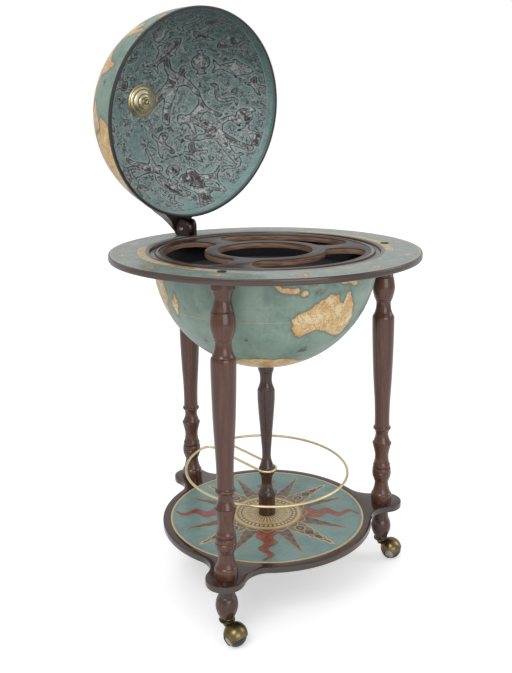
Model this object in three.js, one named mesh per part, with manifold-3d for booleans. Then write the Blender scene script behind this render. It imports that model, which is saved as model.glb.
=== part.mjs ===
// Floor globe bar on three turned legs, shown with its upper half open.
// Units are millimetres, +Z is up and the hinge is at the back (+Y).
import * as THREE from 'three';
import Module from 'manifold-3d';
import { mergeVertices } from 'three/addons/utils/BufferGeometryUtils.js';

const wasm = await Module();
wasm.setup();

// Driving dimensions: globe and horizon ring
const ring_top_height = 613.2;
const ring_thickness = 11;
const ring_radius = 277;
const ring_board_width = 72;
const ring_hole_radius = ring_radius - ring_board_width;
const globe_ring_gap = 5;
const globe_radius = ring_hole_radius - globe_ring_gap;
const shell_thickness = 4;
const ring_edge_round = 1.2;
const glue_clearance = 0.2;
const running_clearance = 0.05;
const pivot_clearance = 0.2;
const turned_clearance = 0.3;

// Driving dimensions: collar, tray and well
const collar_width = 9.2;
const collar_inner_radius = ring_hole_radius - collar_width;
const collar_drop = 3.5;
const tray_gap = 0.4;
const tray_radius = collar_inner_radius - tray_gap;
const tray_drop = 2;
const tray_thickness = 11;
const tray_hole_radius = tray_radius * 0.435;
const slot_inner_radius = tray_radius * 0.5527;
const slot_edge_width = 16.9;
const slot_outer_radius = tray_radius - slot_edge_width;
const bridge_half_width = 20;
const slot_inner_corner = 16;
const slot_outer_corner = 34;
const bead_inset = 1.4;
const bead_width = 5.5;
const bead_outer_radius = tray_radius - bead_inset;
const bead_inner_radius = bead_outer_radius - bead_width;
const bead_height = 1.4;
const hoop_flange_radius = collar_inner_radius - glue_clearance;
const hoop_flange_width = 5.1;
const hoop_outer_radius = hoop_flange_radius - hoop_flange_width;
const hoop_wall = 6.5;
const hoop_inner_radius = hoop_outer_radius - hoop_wall;
const hoop_flange_taper = 0.5;
const hoop_flange_thickness = 4;
const floor_drop = 46;
const floor_thickness = 6;

// Driving dimensions: lid, hinge and their trims
const lid_seat_drop = 3;
const open_angle_degrees = 81.7;
const pivot_inset = 48.8;
const pivot_reach = ring_radius - pivot_inset;
const pivot_rise = 13.6;
const band_lip = 1.2;
const band_width = 4.8;
const band_outer_radius = globe_radius + band_lip;
const band_inner_radius = band_outer_radius - band_width;
const band_height = 6.5;
const stud_radius = 3;
const rosette_radius = 35;
const rosette_height = 17;
const nut_radius = 6.5;
const nut_height = 7;
const stud_tip = 5;
const cap_radius = 14;
const cap_height = 7;
const clevis_half_width = 13;
const clevis_gap_half = 6;
const clevis_half_depth = 16;
const clevis_height = 32.5;
const clevis_corner = 13;
const clevis_base_thickness = 0.4;
const knuckle_radius = 12.8;
const arm_tongue_half = 5.7;
const arm_half_width = 60;
const arm_depth = 116.8;
const arm_back_reach = pivot_reach + arm_depth;
const arm_top_rise = 112;
const pin_radius = 3;
const pin_head_radius = 5.6;
const pin_head_height = 3.4;
const arm_screw_radius = 4;
const arm_screw_head = 2.2;
const arm_screw_length = 9;
const arm_screw_shank_radius = 1.6;

// Driving dimensions: legs, shelf and centre post
const leg_inset = 51.4;
const leg_circle_radius = ring_radius - leg_inset;
const leg_radius = 20.8;
const bolt_radius = 4;
const bolt_head_radius = 7.8;
const bolt_head_height = 1.6;
const bolt_length = 52;
const shelf_top_height = 112.7;
const shelf_thickness = 10.5;
const shelf_inset = 32.6;
const shelf_radius = leg_circle_radius - shelf_inset;
const shelf_lobe_radius = 32.5;
const shelf_lobe_offset = 5.4;
const shelf_waist_radius = 42;
const inlay_border = 14;
const inlay_line_width = 3.6;
const inlay_line_radius = shelf_radius - inlay_border;
const inlay_radius = inlay_line_radius - inlay_line_width;
const inlay_thickness = 2.5;
const post_radius = 16;
const stud_rod_radius = 4;
const stud_rod_bite = 26;
const foot_rod_gap = 10.2;
const post_screw_radius = 3;
const post_screw_head_radius = 6.5;
const post_screw_head_height = 3;
const foot_radius = 18.6;
const foot_end_height = 39;

// Driving dimensions: wire rail
const rail_inset = 44;
const rail_radius = shelf_radius - rail_inset;
const rail_rise = 88;
const rail_lean = 0.033;
const rail_bend_radius = 15;
const wire_radius = 2.25;

// Driving dimensions: casters
const wheel_radius = 18.6;
const hood_clearance = 0.2;
const hood_thickness = 1;
const caster_trail = 20.8;
const axle_tilt_degrees = 20;
const axle_radius = 2.5;
const wheel_inner_face = 12;
const wheel_outer_face = 15.3;
const hub_radius = 8.4;
const hub_height = 2.2;
const hub_hole_radius = 9.6;
const hood_boss_radius = 5;
const hood_cut_distance = 10.5;
const hood_cut_degrees = 47;
const hood_floor_gap = 1.5;
const dish_radius = 13.4;
const dish_thickness = 2.4;
const dish_gap = 1.2;
const dish_depth = 9;
const neck_radius = 7;
const stem_radius = 4;
const stem_rise = 27;
const socket_radius = 5.4;
const socket_flange_radius = 9.5;
const socket_flange_thickness = 1.4;
const bore_end_gap = 1.5;

// Counts and turning angles
const round_steps = 48;
const turned_steps = 14;
const small_steps = 12;
const sphere_rows = 7;
const leg_names = ['front_left', 'front_right', 'back'];
const leg_angles = [210, 330, 90];
const caster_angles = [270, 295, 285];
const slot_angles = [30, 150, 270];

// Leg outline from shelf to ring: share of the length, share of the leg radius
const leg_shares = [
  [0, 0.93], [0.024, 0.93], [0.035, 0.856], [0.051, 0.731], [0.07, 0.606],
  [0.095, 0.683], [0.12, 0.841], [0.139, 0.913], [0.156, 0.764], [0.175, 0.615],
  [0.205, 0.683], [0.236, 0.846], [0.272, 0.582], [0.298, 0.779], [0.328, 0.673],
  [0.368, 0.673], [0.574, 0.913], [0.731, 0.99], [0.749, 0.957], [0.761, 0.764],
  [0.791, 0.649], [0.814, 0.764], [0.836, 0.94], [0.855, 1], [0.895, 0.894],
  [0.931, 0.688], [0.974, 0.971], [1, 0.971],
];

// Foot outline from its lower end to the shelf
const foot_shares = [
  [0, 0.66], [0.06, 0.72], [0.2, 0.92], [0.36, 1], [0.52, 0.92],
  [0.68, 0.75], [0.84, 0.73], [1, 0.78],
];

// Centre post outline from the shelf to the bowl
const post_shares = [
  [0, 0.975], [0.117, 0.975], [0.127, 0.99], [0.142, 0.956], [0.172, 0.7],
  [0.21, 0.594], [0.247, 0.669], [0.278, 0.86], [0.292, 0.925], [0.314, 0.925],
  [0.338, 0.7], [0.383, 0.513], [0.458, 0.575], [0.594, 0.769], [0.685, 0.903],
  [0.76, 1], [0.829, 1], [0.845, 0.93], [0.889, 0.68], [0.95, 0.8], [1, 0.925],
];

// Stepped dome on the inside of the lid: share of height, share of radius
const rosette_shares = [
  [0, 1], [0.12, 1], [0.16, 0.9], [0.26, 0.88], [0.32, 0.74], [0.46, 0.7],
  [0.52, 0.5], [0.72, 0.45], [0.8, 0.3], [1, 0.26],
];

// Arm fan, seen from the back: share of half width, share of the rise
const fan_shares = [
  [0.203, 0], [0.217, 0.06], [0.283, 0.13], [0.35, 0.2], [0.483, 0.3], [0.7, 0.41],
  [0.833, 0.5], [0.95, 0.6], [1, 0.712], [0.967, 0.78], [0.7, 0.92], [0.333, 0.985], [0, 1],
];

// Arm back edge, seen from the side: share of the reach, share of the rise
const back_edge_shares = [
  [0.161, 0], [0.341, 0.263], [0.452, 0.451], [0.546, 0.52], [0.803, 0.712], [1, 1],
];

// Share of the radius at a share of the length, on a turned outline
function shareAt(shares, along) {
  const next = shares.findIndex(([share]) => share >= along);
  if (next < 1) return shares[next === 0 ? 0 : shares.length - 1][1];
  const [low, first] = shares[next - 1];
  const [high, second] = shares[next];
  return first + ((second - first) * (along - low)) / (high - low);
}

// Derived heights and positions
const ring_bottom_height = ring_top_height - ring_thickness;
const bowl_centre_height = ring_bottom_height;
const lid_centre_height = ring_top_height - lid_seat_drop;
const pivot_height = ring_top_height + pivot_rise;
const open_angle = THREE.MathUtils.degToRad(open_angle_degrees);
const shell_inner_radius = globe_radius - shell_thickness;
const shelf_bottom_height = shelf_top_height - shelf_thickness;
const leg_length = ring_bottom_height - shelf_top_height;
const post_length = bowl_centre_height - globe_radius - shelf_top_height;
const weld_gap = globe_radius * 5e-7;
const loop_steps = 5;
const wire_share = wire_radius / post_length;
const rail_share = rail_rise / post_length;
const post_share_here = Math.max(
  ...[-1, 0, 1].map((side) => shareAt(post_shares, rail_share + side * wire_share)),
);
const loop_reach = post_radius * post_share_here + wire_radius + running_clearance;
const rail_slot_half = loop_reach / Math.cos(Math.PI / (4 * loop_steps));
const lid_drop = lid_centre_height - pivot_height;
const cos_open = Math.cos(open_angle);
const sin_open = Math.sin(open_angle);
const lid_open_reach = pivot_reach - pivot_reach * cos_open + lid_drop * sin_open;
const back_reach = lid_open_reach + (globe_radius + cap_height) * sin_open;
const middle_shift = (back_reach - ring_radius) / 2;

// Materials
function paint(name, colour, roughness, metalness) {
  const material = new THREE.MeshStandardMaterial();
  material.name = name;
  material.color = new THREE.Color(colour);
  material.roughness = roughness;
  material.metalness = metalness;
  return material;
}
const walnut = () => paint('walnut', '#4b2b20', 0.35, 0);
const dark_wood = () => paint('dark_wood', '#33201a', 0.4, 0);
const sea_print = () => paint('sea_print', '#8aa79b', 0.5, 0);
const ring_print = () => paint('ring_print', '#93a79e', 0.35, 0);
const flock = () => paint('flock', '#2b2f3b', 0.95, 0);
const brass = () => paint('brass', '#b39b5d', 0.3, 0.9);
const bronze = () => paint('bronze', '#5b5030', 0.4, 0.8);
const steel = () => paint('steel', '#b9bab8', 0.3, 0.9);
const tyre_grey = () => paint('tyre_grey', '#3a3b3d', 0.7, 0);
const gold_line = () => paint('gold_line', '#c9ad86', 0.5, 0);

// Clean mesh: welded, no empty triangles, faces outward
function tidy(geometry) {
  const plain = new THREE.BufferGeometry();
  plain.setAttribute('position', geometry.getAttribute('position').clone());
  if (geometry.index) plain.setIndex(geometry.index.clone());
  const welded = mergeVertices(plain, weld_gap);
  const source = welded.index.array;
  const kept = [];
  for (let i = 0; i < source.length; i += 3) {
    const [a, b, c] = [source[i], source[i + 1], source[i + 2]];
    if (a !== b && b !== c && c !== a) kept.push(a, b, c);
  }
  const place = welded.getAttribute('position');
  const [p, q, r] = [new THREE.Vector3(), new THREE.Vector3(), new THREE.Vector3()];
  let volume = 0;
  for (let i = 0; i < kept.length; i += 3) {
    p.fromBufferAttribute(place, kept[i]);
    q.fromBufferAttribute(place, kept[i + 1]);
    r.fromBufferAttribute(place, kept[i + 2]);
    volume += p.dot(q.cross(r));
  }
  if (volume < 0) kept.reverse();
  welded.setIndex(kept);
  welded.computeVertexNormals();
  return welded;
}

// Booleans
function toSolid(geometry) {
  const clean = tidy(geometry);
  const vertProperties = new Float32Array(clean.getAttribute('position').array);
  const triVerts = new Uint32Array(clean.index.array);
  return new wasm.Manifold(new wasm.Mesh({ numProp: 3, vertProperties, triVerts }));
}
function fromSolid(result) {
  const mesh = result.getMesh();
  const geometry = new THREE.BufferGeometry();
  geometry.setAttribute('position', new THREE.BufferAttribute(mesh.vertProperties.slice(), 3));
  geometry.setIndex([...mesh.triVerts]);
  return tidy(geometry);
}
function cut(body, ...tools) {
  let result = toSolid(body);
  for (const tool of tools) result = result.subtract(toSolid(tool));
  return fromSolid(result);
}
function join(...bodies) {
  let result = toSolid(bodies[0]);
  for (const body of bodies.slice(1)) result = result.add(toSolid(body));
  return fromSolid(result);
}
function common(first, second) {
  return fromSolid(toSolid(first).intersect(toSolid(second)));
}

// Shapes turned about +Z from [radius, height] points
function turned(points, steps) {
  const profile = points.map(([radius, height]) => new THREE.Vector2(radius, height));
  const geometry = new THREE.LatheGeometry(profile, steps);
  geometry.rotateX(Math.PI / 2);
  return tidy(geometry);
}
function rod(radius, low, high, steps) {
  return turned([[0, low], [radius, low], [radius, high], [0, high]], steps);
}
function hoop(inner, outer, low, high, steps) {
  const points = [[inner, low], [outer, low], [outer, high], [inner, high], [inner, low]];
  return turned(points, steps);
}
function outlined(shares, radius, low, length, steps) {
  const side = shares.map(([height, width]) => [width * radius, low + height * length]);
  return turned([[0, low], ...side, [0, low + length]], steps);
}
function ball(radius, steps, rows) {
  const points = [];
  for (let i = 0; i <= rows; i += 1) {
    const angle = -Math.PI / 2 + (Math.PI * i) / rows;
    points.push([i % rows === 0 ? 0 : radius * Math.cos(angle), radius * Math.sin(angle)]);
  }
  return turned(points, steps);
}

// Flat plates from outlines
function plate(outline, holes, low, high) {
  const shape = new THREE.Shape(outline.map(([x, y]) => new THREE.Vector2(x, y)));
  for (const hole of holes) {
    shape.holes.push(new THREE.Path(hole.map(([x, y]) => new THREE.Vector2(x, y))));
  }
  const settings = { depth: high - low, bevelEnabled: false, curveSegments: 1 };
  const geometry = new THREE.ExtrudeGeometry(shape, settings);
  geometry.translate(0, 0, low);
  return tidy(geometry);
}
function circle(radius, steps) {
  const points = [];
  for (let i = 0; i < steps; i += 1) {
    const angle = (2 * Math.PI * i) / steps;
    points.push([radius * Math.cos(angle), radius * Math.sin(angle)]);
  }
  return points;
}
function arc(centre, radius, from, to, steps) {
  const points = [];
  for (let i = 0; i <= steps; i += 1) {
    const angle = from + ((to - from) * i) / steps;
    points.push([centre[0] + radius * Math.cos(angle), centre[1] + radius * Math.sin(angle)]);
  }
  return points;
}
function spun(points, degrees) {
  const angle = THREE.MathUtils.degToRad(degrees);
  const [c, s] = [Math.cos(angle), Math.sin(angle)];
  return points.map(([x, y]) => [x * c - y * s, x * s + y * c]);
}
function placed(geometry, x, y, z) {
  const copy = geometry.clone();
  copy.translate(x, y, z);
  return copy;
}
function polar(radius, degrees) {
  const angle = THREE.MathUtils.degToRad(degrees);
  return [radius * Math.cos(angle), radius * Math.sin(angle)];
}

const bar = new THREE.Group();
bar.name = 'floor_globe_bar';
bar.position.y = -middle_shift;
const lid = new THREE.Group();
lid.name = 'lid_group';
lid.position.set(0, pivot_reach, pivot_height);
lid.rotation.x = -open_angle;
bar.add(lid);

function add(group, name, geometry, material) {
  const mesh = new THREE.Mesh(geometry, material);
  mesh.name = name;
  group.add(mesh);
  return mesh;
}

// Horizon ring with a bolt hole over each leg
const ring_body = turned([
  [ring_hole_radius, ring_bottom_height],
  [ring_radius - ring_edge_round, ring_bottom_height],
  [ring_radius, ring_bottom_height + ring_edge_round],
  [ring_radius, ring_top_height - ring_edge_round],
  [ring_radius - ring_edge_round, ring_top_height],
  [ring_hole_radius + ring_edge_round, ring_top_height],
  [ring_hole_radius, ring_top_height - ring_edge_round],
  [ring_hole_radius, ring_bottom_height],
], round_steps);
const bolt_bore = bolt_radius + glue_clearance;
const bolt_holes = leg_angles.map((degrees) => {
  const [x, y] = polar(leg_circle_radius, degrees);
  const margin = ring_thickness;
  const low = ring_bottom_height - margin;
  return placed(rod(bolt_bore, low, ring_top_height + margin, small_steps), x, y, 0);
});
add(bar, 'horizon_ring', cut(ring_body, ...bolt_holes), ring_print());

// Collar that joins ring and bowl and seats the closed lid
const collar_radius = ring_hole_radius - glue_clearance;
const collar_top = ring_top_height - collar_drop;
add(bar, 'seat_collar', turned([
  [collar_inner_radius, ring_bottom_height],
  [collar_radius, ring_bottom_height],
  [collar_radius, collar_top - ring_edge_round],
  [collar_radius - ring_edge_round, collar_top],
  [collar_inner_radius, collar_top],
  [collar_inner_radius, ring_bottom_height],
], round_steps), dark_wood());

// Lower half of the globe, closed at the pole
function shellArc(radius, centre, from, to, rows) {
  const points = [];
  for (let i = 0; i <= rows; i += 1) {
    const angle = from + ((to - from) * i) / rows;
    points.push([radius * Math.cos(angle), centre + radius * Math.sin(angle)]);
  }
  return points;
}
const lower_outer = shellArc(globe_radius, bowl_centre_height, 0, -Math.PI / 2, sphere_rows);
const lower_inner = shellArc(shell_inner_radius, bowl_centre_height, -Math.PI / 2, 0, sphere_rows);
lower_outer[sphere_rows] = [0, bowl_centre_height - globe_radius];
lower_inner[0] = [0, bowl_centre_height - shell_inner_radius];
const bowl_body = turned([
  ...lower_inner, ...lower_outer,
], round_steps);
const post_screw_hole = rod(
  post_screw_radius + glue_clearance,
  bowl_centre_height - globe_radius - shell_thickness,
  bowl_centre_height - shell_inner_radius + shell_thickness,
  small_steps,
);
add(bar, 'bowl_shell', cut(bowl_body, post_screw_hole), sea_print());

// Well: hoop under the tray and the floor that bottles stand on
const tray_top = ring_top_height - tray_drop;
const tray_bottom = tray_top - tray_thickness;
const floor_top = ring_top_height - floor_drop;
const floor_bottom = floor_top - floor_thickness;
add(bar, 'well_hoop', turned([
  [hoop_inner_radius, floor_top],
  [hoop_inner_radius, tray_bottom],
  [hoop_flange_radius, tray_bottom],
  [hoop_flange_radius - hoop_flange_taper, tray_bottom - hoop_flange_thickness],
  [hoop_outer_radius, tray_bottom - hoop_flange_thickness * 2],
  [hoop_outer_radius, floor_top],
  [hoop_inner_radius, floor_top],
], round_steps), flock());
add(bar, 'well_floor', rod(hoop_outer_radius, floor_bottom, floor_top, round_steps), flock());

// Tray plate with a round hole and three kidney slots
function slotOutline(degrees) {
  const steps = 4;
  const span = Math.PI / 3;
  const inner = slot_inner_radius;
  const outer = slot_outer_radius;
  const near = inner + slot_inner_corner;
  const far = outer - slot_outer_corner;
  const near_off = bridge_half_width + slot_inner_corner;
  const far_off = bridge_half_width + slot_outer_corner;
  const near_tilt = Math.asin(near_off / near);
  const far_tilt = Math.asin(far_off / far);
  const near_centre = [near * Math.cos(near_tilt), near_off];
  const far_centre = [far * Math.cos(far_tilt), far_off];
  const half_turn = Math.PI;
  const low_side = [
    ...arc(near_centre, slot_inner_corner, half_turn + near_tilt, 1.5 * half_turn, steps),
    ...arc(far_centre, slot_outer_corner, -half_turn / 2, far_tilt, steps),
  ];
  const sweep = 2 * span;
  const outer_arc = arc([0, 0], outer, far_tilt, sweep - far_tilt, 2 * steps).slice(1, -1);
  const high_side = low_side.map(([x, y]) => {
    const angle = sweep - Math.atan2(y, x);
    const distance = Math.hypot(x, y);
    return [distance * Math.cos(angle), distance * Math.sin(angle)];
  }).reverse();
  const inner_arc = arc([0, 0], inner, sweep - near_tilt, near_tilt, 2 * steps).slice(1, -1);
  return spun([...low_side, ...outer_arc, ...high_side, ...inner_arc], degrees - 60);
}
const slots = slot_angles.map(slotOutline);
add(bar, 'tray_plate', plate(
  circle(tray_radius, round_steps),
  [circle(tray_hole_radius, round_steps), ...slots],
  tray_bottom,
  tray_top,
), walnut());
const bead_middle = (bead_inner_radius + bead_outer_radius) / 2;
const bead_shoulder = bead_height / 2;
add(bar, 'tray_bead', turned([
  [bead_inner_radius, tray_top],
  [bead_outer_radius, tray_top],
  [bead_outer_radius, tray_top + bead_shoulder],
  [bead_middle, tray_top + bead_height],
  [bead_inner_radius, tray_top + bead_shoulder],
  [bead_inner_radius, tray_top],
], round_steps), walnut());

// Lid, built closed about the pivot and then turned open with its group
const lid_y = -pivot_reach;
const lid_z = lid_centre_height - pivot_height;
function inLid(geometry) {
  return placed(geometry, 0, lid_y, lid_z);
}
const upper_start = Math.asin(band_height / globe_radius);
const inner_start = Math.asin(band_height / shell_inner_radius);
const pole_bore = stud_radius + glue_clearance;
const pole_outer = Math.acos(pole_bore / globe_radius);
const pole_inner = Math.acos(pole_bore / shell_inner_radius);
const seat_angle = Math.acos(rosette_radius / shell_inner_radius);
const upper_outer = shellArc(globe_radius, 0, upper_start, pole_outer, sphere_rows);
const upper_inner = [
  ...shellArc(shell_inner_radius, 0, pole_inner, seat_angle, 1),
  ...shellArc(shell_inner_radius, 0, seat_angle, inner_start, sphere_rows - 1).slice(1),
];
add(lid, 'lid_shell', inLid(turned([
  ...upper_outer, ...upper_inner, upper_outer[0],
], round_steps)), sea_print());
add(lid, 'lid_rim_band', inLid(turned([
  [band_inner_radius, 0],
  [band_outer_radius, 0],
  [band_outer_radius, band_height - ring_edge_round],
  [band_outer_radius - ring_edge_round, band_height],
  [band_inner_radius - ring_edge_round, band_height],
  [band_inner_radius - ring_edge_round, ring_edge_round],
  [band_inner_radius, 0],
], round_steps)), dark_wood());

// Rosette, nut, stud and pole cap on the lid's own axis
const sag = shell_inner_radius - Math.sqrt(shell_inner_radius ** 2 - rosette_radius ** 2);
const rosette_base = shell_inner_radius - sag;
const rosette_side = rosette_shares.map(([rise, width]) => {
  return [width * rosette_radius, rosette_base - rise * rosette_height];
});
const rosette_tip = rosette_base - rosette_height;
add(lid, 'lid_rosette', inLid(turned([
  [pole_bore, rosette_tip],
  ...rosette_side.slice().reverse(),
  [pole_bore, rosette_base],
  [pole_bore, rosette_tip],
], small_steps + 4)), brass());
const nut_low = rosette_tip - nut_height;
add(lid, 'rosette_nut', inLid(turned([
  [pole_bore, nut_low],
  [nut_radius * 0.6, nut_low],
  [nut_radius, nut_low + nut_height * 0.3],
  [nut_radius, nut_low + nut_height * 0.7],
  [nut_radius * 0.8, rosette_tip],
  [pole_bore, rosette_tip],
  [pole_bore, nut_low],
], small_steps)), brass());
add(lid, 'pole_stud', inLid(turned([
  [0, nut_low - stud_tip],
  [stud_radius * 0.7, nut_low - stud_tip * 0.9],
  [stud_radius, nut_low - stud_tip * 0.5],
  [stud_radius, globe_radius],
  [0, globe_radius],
], small_steps)), brass());
const cap_sag = globe_radius - Math.sqrt(globe_radius ** 2 - cap_radius ** 2);
add(lid, 'pole_cap', inLid(turned([
  [0, globe_radius],
  [stud_radius, globe_radius],
  [cap_radius, globe_radius - cap_sag + turned_clearance],
  [cap_radius, globe_radius + cap_height * 0.3],
  [cap_radius * 0.75, globe_radius + cap_height * 0.72],
  [cap_radius * 0.4, globe_radius + cap_height * 0.95],
  [0, globe_radius + cap_height],
], small_steps)), brass());

// Hinge clevis on the ring, over the back leg
function sidePlate(points, low_x, high_x) {
  const flat = plate(points, [], low_x, high_x);
  const turn = new THREE.Matrix4();
  turn.set(0, 0, 1, 0, 1, 0, 0, 0, 0, 1, 0, 0, 0, 0, 0, 1);
  flat.applyMatrix4(turn);
  return tidy(flat);
}
const clevis_top = clevis_height - pivot_rise;
const quarter = Math.PI / 2;
const cheek_outline = [
  [-clevis_half_depth, -pivot_rise],
  [clevis_half_depth, -pivot_rise],
  ...arc([clevis_half_depth - clevis_corner, clevis_top - clevis_corner],
    clevis_corner, 0, quarter, 5),
  ...arc([clevis_corner - clevis_half_depth, clevis_top - clevis_corner],
    clevis_corner, quarter, 2 * quarter, 5),
];
const pin_bore = pin_radius + running_clearance;
function crossRod(radius, low_x, high_x) {
  const geometry = rod(radius, low_x, high_x, small_steps);
  geometry.rotateY(quarter);
  return geometry;
}
const clevis_block = sidePlate(cheek_outline, -clevis_half_width, clevis_half_width);
const gap_low = clevis_base_thickness - pivot_rise;
const gap_outline = [
  [-clevis_half_depth * 2, gap_low], [clevis_half_depth * 2, gap_low],
  [clevis_half_depth * 2, clevis_height], [-clevis_half_depth * 2, clevis_height],
];
const clevis_gap = sidePlate(gap_outline, -clevis_gap_half, clevis_gap_half);
const pin_hole = crossRod(pin_bore, -clevis_half_width * 2, clevis_half_width * 2);
const clevis = cut(clevis_block, clevis_gap, pin_hole);
add(bar, 'hinge_clevis', placed(clevis, 0, pivot_reach, pivot_height), dark_wood());

// Hinge pin with a domed head at one end and a domed nut at the other
const head_face = clevis_half_width;
const pin_body = turned([
  [0, -head_face - pin_head_height],
  [pin_head_radius * 0.55, -head_face - pin_head_height * 0.85],
  [pin_head_radius * 0.9, -head_face - pin_head_height * 0.4],
  [pin_head_radius, -head_face],
  [pin_radius, -head_face],
  [pin_radius, head_face + pin_head_height * 0.5],
  [0, head_face + pin_head_height * 0.5],
], small_steps);
pin_body.rotateY(quarter);
add(bar, 'hinge_pin', placed(pin_body, 0, pivot_reach, pivot_height), brass());
const pin_nut = turned([
  [0, head_face + pin_head_height * 0.5],
  [pin_radius, head_face + pin_head_height * 0.5],
  [pin_radius, head_face],
  [pin_head_radius, head_face],
  [pin_head_radius * 0.9, head_face + pin_head_height * 0.6],
  [pin_head_radius * 0.55, head_face + pin_head_height],
  [0, head_face + pin_head_height],
], small_steps);
pin_nut.rotateY(quarter);
add(bar, 'hinge_pin_nut', placed(pin_nut, 0, pivot_reach, pivot_height), brass());

// Hinge arm: fan outside the lid, narrowed to a tongue between the cheeks
const arm_reach = arm_back_reach - pivot_reach;
const arm_low = -knuckle_radius;
const arm_rise = arm_top_rise - pivot_rise - arm_low;
const fan_side = fan_shares.map(([width, rise]) => {
  return [width * arm_half_width, arm_low + rise * arm_rise];
});
const fan_left = fan_side.slice(0, -1).reverse().map(([x, z]) => [-x, z]);
const arm_deep = arm_reach * 1.2;
const fan_flat = plate([...fan_side, ...fan_left], [], -arm_deep, arm_deep);
fan_flat.rotateX(quarter);
const shoulder_gap = clevis_half_depth + turned_clearance;
const fan_start = sidePlate([
  [shoulder_gap, arm_low],
  ...back_edge_shares.map(([reach, rise]) => [reach * arm_reach, arm_low + rise * arm_rise]),
  [shoulder_gap, arm_low + arm_rise],
], -arm_half_width, arm_half_width);
// The fan keeps clear of the round-topped cheeks through the whole swing
const cheek_centre = clevis_half_depth - clevis_corner;
const cheek_rise = clevis_height - pivot_rise - clevis_corner;
const cheek_reach = Math.hypot(cheek_centre, cheek_rise) + clevis_corner;
const cheek_way = crossRod((cheek_reach + turned_clearance) / Math.cos(Math.PI / small_steps),
  -arm_half_width, arm_half_width);
const fan_body = cut(common(fan_flat, fan_start), cheek_way);
const tongue = sidePlate([
  ...arc([0, 0], knuckle_radius, quarter * 1.25, quarter * 3, 10),
  [arm_reach * 0.16, arm_low],
  [arm_reach * 0.33, arm_rise * 0.15],
  [arm_reach * 0.33, arm_rise * 0.35],
  [shoulder_gap, arm_rise * 0.22],
], -arm_tongue_half, arm_tongue_half);
// The lid with its band, in the open pose about the pivot, cleared from the arm
const clear_radius = globe_radius + turned_clearance;
const clear_share = clear_radius / globe_radius;
const clear_band = band_outer_radius + turned_clearance;
const lid_clear = turned([
  [0, -turned_clearance], [clear_band, -turned_clearance],
  [clear_band, band_height + turned_clearance],
  ...upper_outer.slice(1).map(([radius, height]) => [radius * clear_share, height * clear_share]),
  [0, clear_radius],
], round_steps);
lid_clear.translate(0, lid_y, lid_z);
lid_clear.rotateX(-open_angle);
const arm_hole = crossRod(pin_radius + pivot_clearance, -clevis_half_width * 2,
  clevis_half_width * 2);
const arm_open = cut(join(fan_body, tongue), lid_clear, arm_hole);
arm_open.rotateX(open_angle);

// Two screws that hold the arm to the lid, set along the globe's radius
const screw_rises = [0.52, 0.8];
const screw_names = ['arm_screw_low', 'arm_screw_high'];
const screw_tilts = screw_rises.map((share) => {
  const height = arm_low + share * arm_rise;
  const centre_y = lid_open_reach - pivot_reach;
  const centre_z = pivot_reach * sin_open + lid_drop * cos_open;
  const side = globe_radius + arm_screw_length * 0.5;
  const tilt = Math.asin((centre_z - height) / side);
  return { tilt, centre_y, centre_z };
});
let arm_body = arm_open;
const screw_seats = [];
for (const { tilt } of screw_tilts) {
  const seat = globe_radius + arm_screw_length;
  const shaft = rod(arm_screw_shank_radius + glue_clearance, globe_radius - shell_thickness,
    globe_radius * 2, small_steps);
  const pocket = rod(arm_screw_radius + glue_clearance, seat, globe_radius * 2, small_steps);
  const tool = join(shaft, pocket);
  tool.rotateX(-tilt - quarter);
  tool.rotateX(open_angle);
  tool.translate(0, lid_y, lid_z);
  arm_body = cut(arm_body, tool);
  screw_seats.push({ seat, tilt });
}
add(lid, 'hinge_arm', arm_body, dark_wood());
screw_seats.forEach(({ seat, tilt }, index) => {
  const screw = turned([
    [0, globe_radius + turned_clearance],
    [arm_screw_shank_radius, globe_radius + turned_clearance],
    [arm_screw_shank_radius, seat],
    [arm_screw_radius, seat],
    [arm_screw_radius, seat + arm_screw_head * 0.6],
    [arm_screw_radius * 0.5, seat + arm_screw_head],
    [0, seat + arm_screw_head],
  ], small_steps);
  screw.rotateX(-tilt - quarter);
  screw.rotateX(open_angle);
  screw.translate(0, lid_y, lid_z);
  add(lid, screw_names[index], tidy(screw), brass());
});

// Legs with a blind hole at each end
leg_names.forEach((name, index) => {
  const [x, y] = polar(leg_circle_radius, leg_angles[index]);
  const leg = outlined(leg_shares, leg_radius, shelf_top_height, leg_length, turned_steps);
  const bite = bolt_length - ring_thickness;
  const top_hole = rod(bolt_radius + glue_clearance, ring_bottom_height - bite - bore_end_gap,
    ring_bottom_height + bite, small_steps);
  const low_hole = rod(stud_rod_radius + glue_clearance, shelf_top_height - bite,
    shelf_top_height + stud_rod_bite + bore_end_gap, small_steps);
  add(bar, `leg_${name}`, placed(cut(leg, top_hole, low_hole), x, y, 0), walnut());

  const covered = name === 'back';
  const bolt_top = covered ? ring_top_height : ring_top_height + bolt_head_height;
  const bolt_low = ring_top_height - bolt_length;
  const bolt_points = covered
    ? [[0, bolt_low], [bolt_radius, bolt_low], [bolt_radius, bolt_top], [0, bolt_top]]
    : [
      [0, bolt_low], [bolt_radius, bolt_low], [bolt_radius, ring_top_height],
      [bolt_head_radius, ring_top_height],
      [bolt_head_radius * 0.94, ring_top_height + bolt_head_height * 0.5],
      [bolt_head_radius * 0.5, ring_top_height + bolt_head_height * 0.9],
      [0, bolt_top],
    ];
  add(bar, `leg_bolt_${name}`, placed(turned(bolt_points, small_steps), x, y, 0), bronze());
});

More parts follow.
